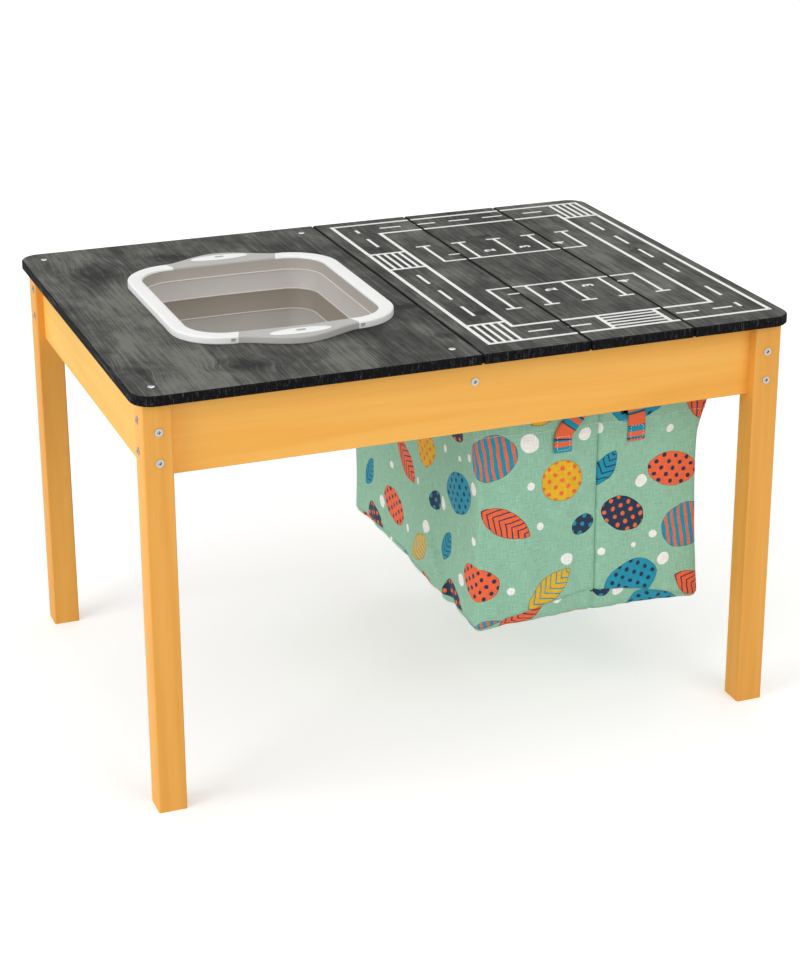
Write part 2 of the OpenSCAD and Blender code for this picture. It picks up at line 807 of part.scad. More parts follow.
// Corners of the rim's section from its outer foot, and of its slimmer core under the grips
function rim_rings(reach) = [
  basin_ring(rim_w, rim_z0, reach),
  basin_ring(wall_t, rim_z0),
  basin_ring(wall_t, rim_z1),
  basin_ring(rim_w - rim_round, rim_z1, reach),
  basin_ring(rim_w - rim_round * arc_mid, rim_z1 - rim_round * arc_mid, reach),
  basin_ring(rim_w, rim_z1 - rim_round, reach)
];
core_rings = [
  basin_ring(core_out, rim_z0 + seat_gap),
  basin_ring(wall_t + seat_gap, rim_z0 + seat_gap),
  basin_ring(wall_t + seat_gap, core_z1),
  basin_ring(core_out - core_round, core_z1),
  basin_ring(core_out - core_round * arc_mid, core_z1 - core_round * arc_mid),
  basin_ring(core_out, core_z1 - core_round)
];

// Stations of the outline where the back grip starts and ends, then those of the front grip
grip_stations = [[arc_n, arc_n + side_n], [3 * arc_n + side_n + 1, 3 * arc_n + 2 * side_n + 1]];

module basin_rim() {
  full = rim_rings(0);
  n = len(full[0]);
  back = grip_stations[0];
  front = grip_stations[1];
  color("#EBEBEB")
    loft(
      concat(
        [for (i = [0 : back[0]]) station(full, i)],
        [for (i = [back[0] : back[1]]) station(core_rings, i)],
        [for (i = [back[1] : front[0]]) station(full, i)],
        [for (i = [front[0] : front[1]]) station(core_rings, i)],
        [for (i = [front[1] : n - 1]) station(full, i)]
      ),
      closed = true
    );
}

// Soft grip moulded over the rim's core: front for s = -1, back for s = 1
module basin_grip(s) {
  full = rim_rings(grip_reach);
  ends = grip_stations[s > 0 ? 0 : 1];
  rings = [
    full[0],
    basin_ring(core_out + mould_gap, rim_z0),
    basin_ring(core_out + mould_gap, core_z1 + mould_gap),
    basin_ring(wall_t, core_z1 + mould_gap),
    full[2],
    full[3],
    full[4],
    full[5]
  ];
  color("#AFACA8")
    loft([for (i = [ends[0] : ends[1]]) station(rings, i)]);
}

// Oval inlay on the grip, with a slot sunk in it
module basin_inlay(s) {
  color("#F0F0F0")
    translate([basin_x, s * inlay_y, rim_z1])
      difference() {
        linear_extrude(height = inlay_t)
          polygon([for (a = [0 : 10 : 350]) [inlay_l / 2 * cos(a), inlay_w / 2 * sin(a)]]);
        translate([0, 0, inlay_t / 2])
          linear_extrude(height = inlay_t) {
            square([slot_l - slot_w, slot_w], center = true);
            for (k = [-1, 1])
              translate([k * (slot_l - slot_w) / 2, 0])
                circle(d = slot_w, $fn = arc_fn);
          }
      }
}

module basin_collar() {
  color("#AAA59E")
    basin_wall(ridge_1_z, draw_1, collar_z1, 0);
}

module basin_upper_band() {
  color("#C8C3BE")
    basin_wall(ridge_2_z, draw_2, ridge_1_z, draw_1);
}

// Shown open; it turns inside out when the pan is pushed up
module basin_fold_band() {
  color("#9C9084")
    basin_wall(ridge_3_z + seat_gap, draw_3, ridge_2_z, draw_2);
}

module basin_lower_band() {
  color("#C8C3BE")
    basin_wall(ridge_4_z, draw_4, ridge_3_z, draw_3);
}

module basin_pan() {
  color("#AAA59E")
    loft([
      basin_ring(wall_t - draw_pan - pan_foot_r, pan_z0),
      basin_ring(wall_t - draw_pan - pan_foot_r * arc_mid, pan_z0 + pan_foot_r * arc_mid),
      basin_ring(wall_t - draw_pan, pan_z0 + pan_foot_r),
      basin_ring(wall_t - draw_4, ridge_4_z),
      basin_ring(-draw_4, ridge_4_z),
      basin_ring(-draw_pan, pan_z0 + wall_t + pan_foot_r),
      basin_ring(-draw_pan - pan_foot_r * arc_mid, pan_z0 + wall_t + pan_foot_r * arc_mid),
      basin_ring(-draw_pan - pan_foot_r, pan_z0 + wall_t)
    ]);
}

// ---------- the nodes ----------

leg(-1, -1);  // leg_front_left
leg(1, -1);  // leg_front_right
leg(-1, 1);  // leg_back_left
leg(1, 1);  // leg_back_right
long_apron(-1);  // apron_front
long_apron(1);  // apron_back
short_apron(-1);  // apron_left
short_apron(1);  // apron_right
cross_rail();
fixed_panel();
panel_screws();
leg_bolts();
barrel_nuts();
rail_bolts();
bag_rod(0);  // bag_rod_left
bag_rod(1);  // bag_rod_right
rod_block(0, -1);  // rod_block_front_left
rod_block(1, -1);  // rod_block_front_right
rod_block(0, 1);  // rod_block_back_left
rod_block(1, 1);  // rod_block_back_right
rod_block_screws();
bag_half(-1);  // bag_left_half
bag_half(1);  // bag_right_half
bag_bottom();
bag_handle(-1);  // bag_handle_front
bag_handle(1);  // bag_handle_back
loose_board(1);  // loose_board_1
batten(1, -1);  // batten_1_front
batten(1, 1);  // batten_1_back
batten_screws(1);  // batten_screws_1
loose_board(2);  // loose_board_2
batten(2, -1);  // batten_2_front
batten(2, 1);  // batten_2_back
batten_screws(2);  // batten_screws_2
loose_board(3);  // loose_board_3
batten(3, -1);  // batten_3_front
batten(3, 1);  // batten_3_back
batten_screws(3);  // batten_screws_3
basin_rim();
basin_grip(-1);  // basin_grip_front
basin_grip(1);  // basin_grip_back
basin_inlay(-1);  // basin_inlay_front
basin_inlay(1);  // basin_inlay_back
basin_collar();
basin_upper_band();
basin_fold_band();
basin_lower_band();
basin_pan();
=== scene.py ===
# %% [markdown]
# # A low play table with a folding basin and a cloth storage bag
#
# The table's frame arrives finished: every board, leg, bolt and basin part is already at its real
# size and in its real place. This notebook dresses it. Each step first says what the piece or the
# finish is on the real table, how it could be made, and why one way was chosen.

# %% Load the frame
import math
from functools import partial

import bmesh
import bpy
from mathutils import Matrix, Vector, noise


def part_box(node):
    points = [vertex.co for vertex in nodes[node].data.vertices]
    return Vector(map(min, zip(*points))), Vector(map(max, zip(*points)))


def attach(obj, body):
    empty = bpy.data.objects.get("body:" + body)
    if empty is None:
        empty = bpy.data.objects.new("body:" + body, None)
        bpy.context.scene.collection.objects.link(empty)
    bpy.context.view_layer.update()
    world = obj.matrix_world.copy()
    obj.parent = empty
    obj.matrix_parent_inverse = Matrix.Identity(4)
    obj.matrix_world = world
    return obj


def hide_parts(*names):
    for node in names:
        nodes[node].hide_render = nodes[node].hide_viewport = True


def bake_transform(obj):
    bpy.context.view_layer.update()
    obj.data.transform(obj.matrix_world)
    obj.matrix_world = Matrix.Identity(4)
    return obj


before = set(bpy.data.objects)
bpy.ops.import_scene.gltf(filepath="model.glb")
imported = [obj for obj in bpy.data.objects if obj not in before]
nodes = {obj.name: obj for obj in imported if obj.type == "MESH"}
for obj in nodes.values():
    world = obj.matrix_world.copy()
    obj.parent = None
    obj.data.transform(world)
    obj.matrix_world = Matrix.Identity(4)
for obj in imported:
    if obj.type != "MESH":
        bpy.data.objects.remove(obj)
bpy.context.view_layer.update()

MM = 0.001


# %% [markdown]
# ## Small helpers
#
# Colours are written as sRGB hex, the way a colour picker shows them, and Blender's sockets want
# linear values, so one function converts them. Shader nodes could be laid out by hand in the
# editor, but in code a material reads like a recipe: one function adds a node with its settings
# and links, and gives back the output that the next line needs.

# %% Colours and shader nodes
def linear(code):
    """sRGB hex to linear RGBA."""
    def channel(part):
        c = int(part, 16) / 255
        return c / 12.92 if c <= 0.04045 else ((c + 0.055) / 1.055) ** 2.4
    return (channel(code[1:3]), channel(code[3:5]), channel(code[5:7]), 1.0)


def plug(node, inputs):
    """Sets a node's inputs, and links them where the value is another node's output."""
    for key, value in inputs.items():
        if isinstance(value, bpy.types.NodeSocket):
            node.id_data.links.new(value, node.inputs[key])
        else:
            node.inputs[key].default_value = value


def add(tree, kind, inputs=(), out=0, **settings):
    """Adds a shader node and gives one of its outputs; inputs are a list in order or a dict by name."""
    node = tree.nodes.new("ShaderNode" + kind)
    for key, value in settings.items():
        setattr(node, key, value)
    plug(node, inputs if isinstance(inputs, dict) else dict(enumerate(inputs)))
    return node.outputs[out]


print("helpers: #808080 is", [round(c, 3) for c in linear("#808080")])

# %% A material to fill
def new_material(name, **sockets):
    """A material, the function that adds nodes to it, and its shader with the plain values given."""
    material = bpy.data.materials.new(name)
    material.use_nodes = True
    shader = material.node_tree.nodes["Principled BSDF"]
    plug(shader, {key.replace("_", " "): value for key, value in sockets.items()})
    return material, partial(add, material.node_tree), shader


# %% [markdown]
# ## From points to a piece
#
# The shapes that are made here are worked out in millimetres and built with bmesh, Blender's
# editable mesh. Primitives and modifiers could make some of them, but points keep every size exact.
# One function turns the points into an object in metres: it joins points that lie on each other,
# turns the faces outwards, and keeps edges crisp that are sharper than a given angle.

# %% Finish a mesh
def finish_mesh(name, bm, sharp):
    """Turns a bmesh in millimetres into a linked object in metres."""
    bmesh.ops.remove_doubles(bm, verts=bm.verts, dist=0.001)
    bmesh.ops.recalc_face_normals(bm, faces=bm.faces)
    bmesh.ops.scale(bm, vec=(MM, MM, MM), verts=bm.verts)
    mesh = bpy.data.meshes.new(name)
    bm.to_mesh(mesh)
    bm.free()
    mesh.shade_smooth()
    mesh.set_sharp_from_angle(angle=math.radians(sharp))
    piece = bpy.data.objects.new(name, mesh)
    bpy.context.scene.collection.objects.link(piece)
    return piece


def paint_with(piece, material):
    piece.data.materials.clear()
    piece.data.materials.append(material)


# %% [markdown]
# ## The camera
#
# The photograph was taken from the front left, a little above the table, with a long lens. The
# place was found by fitting the table's own edges to the picture. The small shift keeps the legs
# as upright as they are in the picture without making other views lopsided.

# %% Camera
PHOTO_HIGH = 977
FOCAL_PIXELS = 2196
AXIS_ABOVE_MIDDLE = 98.5
camera_data = bpy.data.cameras.new("camera")
camera_data.sensor_width = 36
camera_data.lens = camera_data.sensor_width * FOCAL_PIXELS / PHOTO_HIGH
camera_data.shift_y = -AXIS_ABOVE_MIDDLE / PHOTO_HIGH
camera = bpy.data.objects.new("camera", camera_data)
# The fitted place, in metres, and turn.
camera.location = (-0.9101, -2.4037, 1.2694)
camera.rotation_euler = [math.radians(a) for a in (70.575, 0.186, -21.1)]
bpy.context.scene.collection.objects.link(camera)
bpy.context.scene.camera = camera
print("camera: lens", round(camera_data.lens, 1), "shift", round(camera_data.shift_y, 3))

# %% [markdown]
# ## The floor
#
# A product picture like this one stands on a white paper sweep. The floor has to look white and
# still carry the legs' soft shadows. More light would burn out the table as well, so the floor is a
# pale matt surface that glows to the camera only. It glows more with distance from the table, where
# a real sweep is burnt out.

# %% Floor
# Metres from the table where the glow starts and stops growing, and how strong it is there.
NEAR_SWEEP, FAR_SWEEP = 0.9, 2.6
NEAR_GLOW, FAR_GLOW = 0.335, 0.55
FLOOR_HALF = 9000
bpy.context.scene.view_settings.view_transform = "Standard"

# Matt paper has no highlight, so all that the eye sees on it is the soft shadows.
floor_paint, put, shader = new_material("matt white sweep", Roughness=0.9)
away = put("VectorMath", [put("NewGeometry", out="Position")], out="Value", operation="LENGTH")
sweep = put("MapRange", {"Value": away, "From Min": NEAR_SWEEP, "From Max": FAR_SWEEP,
                         "To Min": NEAR_GLOW, "To Max": FAR_GLOW})
glow = put("Math", [put("LightPath", out="Is Camera Ray"), sweep], operation="MULTIPLY")
plug(shader, {"Base Color": linear("#F1F1F1"), "Emission Color": (1, 1, 1, 1), "Emission Strength": glow})
bm = bmesh.new()
bm.faces.new([bm.verts.new((x * FLOOR_HALF, y * FLOOR_HALF, 0)) for x, y in
              ((-1, -1), (1, -1), (1, 1), (-1, 1))])
floor = finish_mesh("floor", bm, sharp=40)
paint_with(floor, floor_paint)
print("floor:", 2 * FLOOR_HALF * MM, "m wide")

# %% [markdown]
# ## White room and lamps
#
# The light in the picture is very soft: a big source like a window on the left, a weaker one in
# front, and white all round. An image of a studio could light the scene, but a plain white world
# and three square lamps are easy to read and to change. The world is a full white to the camera and
# in reflections, and a weaker one as a light.

# %% White room
ROOM_LIGHT = 0.58
room = bpy.data.worlds.new("white room")
bpy.context.scene.world = room
room.use_nodes = True
put = partial(add, room.node_tree)
rays = put("LightPath").node.outputs
seen = put("Math", [rays["Is Camera Ray"], rays["Is Glossy Ray"]], operation="MAXIMUM")
seen = put("Math", [seen, rays["Is Transmission Ray"]], operation="MAXIMUM")
strength = put("MapRange", {"Value": seen, "To Min": ROOM_LIGHT, "To Max": 1.0})
plug(room.node_tree.nodes["Background"], {"Color": (1, 1, 1, 1), "Strength": strength})
print("white room: lights at", ROOM_LIGHT)

# %% Lamps
LAMP_TARGET = Vector((0, 0, 0.3))
# name: place in metres, side in metres, watts
LAMPS = {
    "left window": ((-3.3, -0.85, 1.4), 2.4, 61),
    "front fill": ((1.5, -3.4, 2.0), 2.6, 35),
    "overhead": ((0.2, 0.4, 3.4), 2.4, 18),
}
for name, (place, side, watts) in LAMPS.items():
    light = bpy.data.lights.new(name, "AREA")
    light.shape = "SQUARE"
    light.size = side
    light.energy = watts
    lamp = bpy.data.objects.new(name, light)
    lamp.location = place
    lamp.rotation_euler = (LAMP_TARGET - Vector(place)).to_track_quat("-Z", "Y").to_euler()
    bpy.context.scene.collection.objects.link(lamp)
print("studio:", len(LAMPS), "lamps")

# %% [markdown]
# ## Lacquered pine
#
# The legs and aprons are pine under an amber satin lacquer. Pine shows long soft bands along the
# grain and a fine streak inside each band. A photo of wood could be wrapped on, but it would repeat
# and blur, and a noise stretched along the grain gives both bands and streaks at any size. The
# grain runs along each piece: up the legs, left to right on the long aprons and front to back on
# the short ones. Every piece starts at its own place in the noise, as no two planks are alike.

# %% Pine
# Widths and lengths of the bands and the streaks, in millimetres.
BAND = (22, 420)
STREAK = (1.4, 70)
X, Y, Z = 0, 1, 2


def along_grain(put, axis, size, start):
    """Object coordinates squeezed so that a noise of scale 1 gets that width and length."""
    scale = [1 / (size[0] * MM)] * 3
    scale[axis] = 1 / (size[1] * MM)
    return put("Mapping", {"Vector": put("TexCoord", out="Object"), "Location": start, "Scale": scale})


def set_stops(ramp, *stops):
    """Puts a colour ramp's stops where they belong, each a position and a hex colour."""
    elements = ramp.node.color_ramp.elements
    for element, (position, code) in zip(list(elements), stops):
        element.position, element.color = position, linear(code)
    for position, code in stops[2:]:
        elements.new(position).color = linear(code)
    return ramp


def pine(name, axis, start, tones, roughness, coat):
    """Planed pine in a pale, a middle and a deep tone, under a coat of lacquer or none."""
    # Pine's colour drifts in soft bands and its planed grain is almost flat. The satin lacquer lays
    # a broad soft shine over both, and bare wood stays dull.
    material, put, shader = new_material(name, Roughness=roughness, IOR=1.45, Coat_Weight=coat,
                                         Coat_Roughness=0.4)
    band = put("TexNoise", {"Vector": along_grain(put, axis, BAND, start), "Scale": 1.0, "Detail": 2.0,
                            "Distortion": 0.35})
    streak = put("TexNoise", {"Vector": along_grain(put, axis, STREAK, start), "Scale": 1.0,
                              "Detail": 3.0, "Roughness": 0.6})
    pale, middle, deep = tones
    colour = set_stops(put("ValToRGB", [band]), (0.3, deep), (0.7, pale), (0.5, middle))
    shade = put("MapRange", {"Value": streak, "From Min": 0.3, "From Max": 0.7,
                             "To Min": 0.97, "To Max": 1.02})
    plug(shader, {
        "Base Color": put("VectorMath", [colour, shade], operation="MULTIPLY"),
        "Normal": put("Bump", {"Height": streak, "Strength": 0.06, "Distance": 0.0004})})
    return material


print("pine: bands of", BAND, "mm and streaks of", STREAK, "mm")

# %% Paint the frame
# The lacquer looks a little deeper on the legs than on the aprons. The short aprons are painted paler and
# yellower: painted light, for the left apron that faces the window lamp.
AMBER_WITH_PAINTED_LIGHT = {Z: ("#F1AF4E", "#EBA745", "#E49D3C"), X: ("#FBBA54", "#F8B249", "#F3AA40"),
         Y: ("#F4C25B", "#F0BB51", "#EBB347")}
lacquered = {f"leg_{end}_{side}": Z for end in ("front", "back") for side in ("left", "right")}
lacquered |= {"apron_front": X, "apron_back": X, "apron_left": Y, "apron_right": Y}
for place, (node, axis) in enumerate(lacquered.items()):
    start = (7.3 * place, 3.1 * place, 5.7 * place)
    paint_with(nodes[node], pine("amber lacquered pine, " + node.replace("_", " "), axis, start,
                                 AMBER_WITH_PAINTED_LIGHT[axis], 0.5, 0.06))

# The pieces under the top are planed and left bare, so they are paler and dull.
BARE = ("#EBC88F", "#DFB677", "#CFA262")
hidden_wood = {"cross_rail": Y, "bag_rod_left": Y, "bag_rod_right": Y}
hidden_wood |= {node: X for node in nodes if node.startswith(("rod_block_f", "rod_block_b"))}
hidden_wood |= {node: X for node in nodes if node.startswith("batten_") and "screws" not in node}
for place, (node, axis) in enumerate(sorted(hidden_wood.items())):
    start = (4.9 * place, 8.3 * place, 2.7 * place)
    paint_with(nodes[node], pine("planed pine, " + node.replace("_", " "), axis, start, BARE, 0.62, 0.0))
print("pine:", len(lacquered), "lacquered and", len(hidden_wood), "bare pieces")

# %% [markdown]
# ## Knots in the top
#
# The top is pine boards with a few knots. Real grain parts before a knot and closes behind it, and
# the wood is darker there. Lines could be drawn round each knot, but it is simpler to push the
# coordinate across the grain outwards near a knot: every pattern that is drawn with it then bends
# by itself. The dark patch gets a ragged edge from a noise, and the lines stay smooth.

# %% Push the grain round knots
# Knots sit half-way up the boards and reach well through them. Sizes are in millimetres.
KNOT_Z, KNOT_DEEP = 494.0, 50.0
# A patch's rags are about 18 mm apart and tear it up to 18 mm out of place.
RAGS_PER_MM, RAG_REACH = 0.055, 18.0
# How far the grain is pushed aside, as a share of a knot's half width.
PUSH = -0.6


def near_knot(put, point, x, y, half_width, half_length):
    """1 at a knot's middle and fading to 0 round it, and the place across it in half widths."""
    own = put("Mapping", {"Vector": point, "Location": (x * MM, y * MM, KNOT_Z * MM),
                          "Scale": (half_width * MM, half_length * MM, KNOT_DEEP * MM)},
              vector_type="TEXTURE")
    square = put("Math", [put("VectorMath", [own], out="Value", operation="LENGTH"), 2.0],
                 operation="POWER")
    near = put("Math", [put("Math", [square, -1.0], operation="MULTIPLY")], operation="EXPONENT")
    return near, put("SeparateXYZ", [own])


def push_round(put, place, knots):
    """The place across the grain, pushed outwards round each knot, and the knots' darkness."""
    reach = RAG_REACH * MM
    rags = put("TexNoise", {"Vector": place, "Scale": RAGS_PER_MM / MM, "Detail": 5.0}, out="Color")
    rags = put("VectorMath", [rags, (2 * reach, 2 * reach, 0), (-reach, -reach, 0)],
               operation="MULTIPLY_ADD")
    torn = put("VectorMath", [place, rags], operation="ADD")
    pushed, darkness = put("SeparateXYZ", [place]), 0.0
    for knot in knots:
        patch, _ = near_knot(put, torn, *knot)
        hill, side = near_knot(put, place, *knot)
        darkness = put("Math", [patch, darkness], operation="ADD")
        pushed = put("Math", [put("Math", [hill, side], operation="MULTIPLY"), PUSH * knot[2] * MM, pushed],
                     operation="MULTIPLY_ADD")
    return pushed, darkness


print("knots: patches with rags of up to", RAG_REACH, "mm")


# %% [markdown]
# ## Charcoal stain
#
# The boards are stained with a thin charcoal wash, matt and with hardly any shine, so the figure
# still shows as pale and dark lines. Four patterns make it: growth lines, fine streaks, cloudy
# blotches and the knots. The fixed panel is glued from staves, each with its own tone. The stain
# soaks deep into the sawn edges, which are almost black with pale end grain showing.

# %% Patterns in the stain
# Sizes in millimetres: one growth line to the next, the widths and lengths of the soft patterns,
# and a mark of end grain.
LINE_PITCH = 9.0
DRIFT, LINE_STRENGTH, FINE_STREAK, BLOTCH = (75, 340), (30, 120), (1.3, 90), (40, 95)
END_MARK = (1.4, 60, 10)
# How many pitches a line can wander, and how much narrower than a wave it is.
WANDER, NARROW = 3.0, 3.0
# A stave's width, where the first one starts, its tone and the step to the next stave's tone.
STAVE, STAVE_X0, FIRST_TONE, TONE_STEP = 82.0, -443.0, 0.58, 0.37


def board_noise(put, bent, start, size, detail, roughness=0.55, distortion=0.0, offset=0.0):
    """A noise drawn out along the bent grain, with cells of that width and length."""
    width, length = (1 / (v * MM) for v in size)
    place = put("Mapping", {"Vector": bent, "Location": [v + offset for v in start],
                            "Scale": (width, length, width)})
    return put("TexNoise", {"Vector": place, "Scale": 1.0, "Detail": detail, "Roughness": roughness,
                            "Distortion": distortion})


def growth_lines(put, pushed, drift):
    """Thin pale lines along the grain that wander with the drift."""
    wander = put("Math", [drift, WANDER], operation="MULTIPLY")
    phase = put("Math", [pushed, 1 / (LINE_PITCH * MM), wander], operation="MULTIPLY_ADD")
    turn = put("Math", [phase, 2 * math.pi], operation="MULTIPLY")
    wave = put("Math", [put("Math", [turn], operation="SINE"), 0.5, 0.5], operation="MULTIPLY_ADD")
    return put("Math", [wave, NARROW], operation="POWER")


def stave_tone(put, across):
    """A tone from 0 to 1 for each stave of the glued panel, jumping about from one to the next."""
    stave = put("Math", [put("Math", [across, -STAVE_X0 * MM], operation="ADD"), STAVE * MM],
                operation="DIVIDE")
    step = put("Math", [put("Math", [stave], operation="FLOOR"), TONE_STEP, FIRST_TONE],
               operation="MULTIPLY_ADD")
    return put("Math", [step], operation="FRACT")


def sawn_edge(put, place, start):
    """Nearly black with short upright pale marks, where the ends of the fibres show."""
    fibres = put("Mapping", {"Vector": place, "Location": (start[0], 0, 0),
                             "Scale": [1 / (v * MM) for v in END_MARK]})
    marks = put("TexNoise", {"Vector": fibres, "Scale": 1.0, "Detail": 2.0, "Roughness": 0.5,
                             "Distortion": 0.9})
    return set_stops(put("ValToRGB", [marks]), (0.56, "#060608"), (0.84, "#56575B"))


print("stain: a growth line about every", LINE_PITCH, "mm")


# %% Mix the stain
# How much of each pattern goes into the mix, which the last ramp turns into greys.
STREAK_SHARE, MIX_START, BLOTCH_SHARE, TONE_SHARE, KNOT_SHARE = 0.8, -0.36, 1.15, 0.2, -0.34
LINE_SHARE = 0.13


def stained(name, start, knots, tone=None):
    """Charcoal-stained pine; knots are (x, y, half width, half length) in millimetres."""
    # A thin stain dries matt: the wood's figure shows through it, and hardly any light shines back.
    material, put, shader = new_material(name, Roughness=0.68, IOR=1.5, Specular_IOR_Level=0.1)
    place = put("TexCoord", out="Object")
    across, along, up = put("SeparateXYZ", [place]).node.outputs
    pushed, darkness = push_round(put, place, knots)
    bent = put("CombineXYZ", [pushed, along, up])
    figure = partial(board_noise, put, bent, start)

    lines = growth_lines(put, pushed, figure(DRIFT, 2.0))
    line_strength = put("Math", [figure(LINE_STRENGTH, 2.0, offset=5.0), LINE_SHARE], operation="MULTIPLY")
    streak = figure(FINE_STREAK, 4.0, 0.66)
    mix = put("Math", [streak, STREAK_SHARE, MIX_START], operation="MULTIPLY_ADD")
    for pattern, share in ((figure(BLOTCH, 6.0, 0.66, 0.15, 9.0), BLOTCH_SHARE), (lines, line_strength),
                           (stave_tone(put, across) if tone is None else tone, TONE_SHARE),
                           (darkness, KNOT_SHARE)):
        mix = put("Math", [pattern, share, mix], operation="MULTIPLY_ADD")
    greys = set_stops(put("ValToRGB", [mix]), (0.46, "#282828"), (0.98, "#74746E"), (0.72, "#4D4D4A"))

    normal = put("SeparateXYZ", [put("NewGeometry", out="True Normal")]).node.outputs
    flat = put("MapRange", {"Value": normal["Z"], "From Min": 0.75, "From Max": 0.9})
    plug(shader, {
        "Base Color": put("Mix", {0: flat, 6: sawn_edge(put, place, start), 7: greys}, out=2,
                          data_type="RGBA"),
        "Normal": put("Bump", {"Height": streak, "Strength": 0.18, "Distance": 0.0004})})
    return material


# %% Stain the top
PANEL_KNOTS = [(-321, 182, 36, 40), (-256, -228, 32, 17), (-368, -208, 22, 26), (-217, 214, 20, 22),
               (-11, -213, 14, 12), (-16, -92, 13, 10)]
# Each loose board's tone and knots.
BOARDS = {1: (0.45, [(60, -150, 13, 7)]), 2: (0.35, [(215, -230, 11, 6), (190, 160, 10, 6)]),
          3: (0.75, [(350, 20, 12, 7)])}
paint_with(nodes["fixed_panel"], stained("charcoal stained pine, glued panel", (0, 0, 0), PANEL_KNOTS))
for n, (tone, knots) in BOARDS.items():
    paint_with(nodes[f"loose_board_{n}"],
               stained(f"charcoal stained pine, board {n}", (11.3 * n, 4.7 * n, 0), knots, tone))
print("stain: panel and", len(BOARDS), "boards")

# %% [markdown]
# ## Bolts and screws
#
# The connector bolts, barrel nuts and screws are zinc-plated steel: pale, slightly blue-grey and
# softly blurred, because the plating is matt compared with chrome. The sockets and the cross
# recesses get painted shade: the colour there darkens with how shut in the surface is. The spots
# of the plating are far finer than this, and are drawn about 1 mm wide so that they show at all.

# %% Zinc plate
PLATING_SPOTS_PER_MM = 0.9
SOCKET_DEEP = 2.2
# Bare metal has no colour of its own but its reflection's, and the plating blurs that in spots.
zinc, put, shader = new_material("zinc plated steel", Metallic=1.0)
spots = put("TexNoise", {"Vector": put("TexCoord", out="Object"), "Detail": 2.0,
                         "Scale": PLATING_SPOTS_PER_MM / MM})
# Painted shade: the colour turns dark blue-grey where the surface is shut in, in the sockets, the cross
# recesses and round the heads.
socket_shade = put("AmbientOcclusion", {"Distance": SOCKET_DEEP * MM}, out="AO", samples=8)
plug(shader, {
    "Roughness": put("MapRange", {"Value": spots, "To Min": 0.26, "To Max": 0.44}),
    "Base Color": set_stops(put("ValToRGB", [socket_shade]), (0.25, "#2E3A46"), (0.8, "#D3D5D6"))})
hardware = [node for node in nodes if "bolts" in node or "screws" in node or "nuts" in node]
for node in hardware:
    paint_with(nodes[node], zinc)
print("zinc:", len(hardware), "nodes")


# %% [markdown]
# ## The printed road layout
#
# The road is screen-printed in white on the three loose boards: a ring road with dashed centre
# lines, four crossings, and two rows of parking bays with plain numbers. A print could be drawn in
# the board's material, but real ink has an edge and stays crisp close up, so it is thin geometry.
# First come its lines, all of them upright rectangles in millimetres.

# %% Kinds of line
# Widths of the edge lines, and of the dashes, stripes and bays.
LINE, DASH = 5.0, 4.0


def bar(x0, y0, x1, y1, width=LINE):
    """The rectangle of a straight line with square ends that reach half a width past its points."""
    w = width / 2
    return (min(x0, x1) - w, min(y0, y1) - w, max(x0, x1) + w, max(y0, y1) + w)


def frame_lines(x0, y0, x1, y1):
    return [bar(x0, y0, x1, y0), bar(x0, y1, x1, y1), bar(x0, y0, x0, y1), bar(x1, y0, x1, y1)]


def crossing(x0, y0, x1, y1, lengthwise, ends):
    """Four stripes across a road, and a line at each end that has one."""
    stripes = []
    for k in range(1, 5):
        x, y = x0 + (x1 - x0) * k / 5, y0 + (y1 - y0) * k / 5
        stripes.append(bar(x, y0, x, y1, DASH) if lengthwise else bar(x0, y, x1, y, DASH))
    return stripes + [bar(x0, place, x1, place) if lengthwise else bar(place, y0, place, y1)
                      for place in ends]


def bays(base_y, tip_y, x0, pitch, count, tick):
    """A row of parking bays: a base line, dividers and a tick at each divider's free end."""
    row = [bar(x0, base_y, x0 + count * pitch, base_y, DASH)]
    for x in (x0 + k * pitch for k in range(count + 1)):
        row.append(bar(x, base_y, x, tip_y, DASH))
        row.append(bar(x - tick / 2, tip_y, x + tick / 2, tip_y, DASH))
    return row


print("road lines:", LINE, "and", DASH, "mm wide")

# %% Where the lines run
# The road's width, and the rectangles of its outer and inner edges.
ROAD = 50.0
RING = (22.0, -259.5, 379.5, 271.5)
INNER = (RING[0] + ROAD, RING[1] + ROAD, RING[2] - ROAD, RING[3] - ROAD)
# Both ends of each dash, along the road it lies in.
DASHES = {
    "left": [(232.5, 247.5), (161, 202), (-16.5, 23.5), (-87.5, -47), (-156.5, -117.5)],
    "right": [(128.5, 168.5), (56.5, 97), (-12.5, 27.5), (-82.5, -42.5), (-189.5, -149.5), (-237.5, -221.5)],
    "back": [(81, 110.5), (130.5, 160), (180, 209), (229, 258), (289, 317.5)],
    "front": [(81, 110.5), (130.5, 160), (270, 300), (318.5, 344)],
}
LEFT_CROSSING, FRONT_CROSSING = (56.5, 128.5), (178, 251.5)
CORNER_CROSSING_BACK, CORNER_CROSSING_FRONT = 202.5, -190
BAY_X0, BAY_PITCH, BAY_COUNT, BAY_TICK = 101.9, 49.1, 4, 16
# Each row's base line and the free ends of its dividers.
BAY_ROWS = ((-67.5, -147.5), (67.5, 142.5))

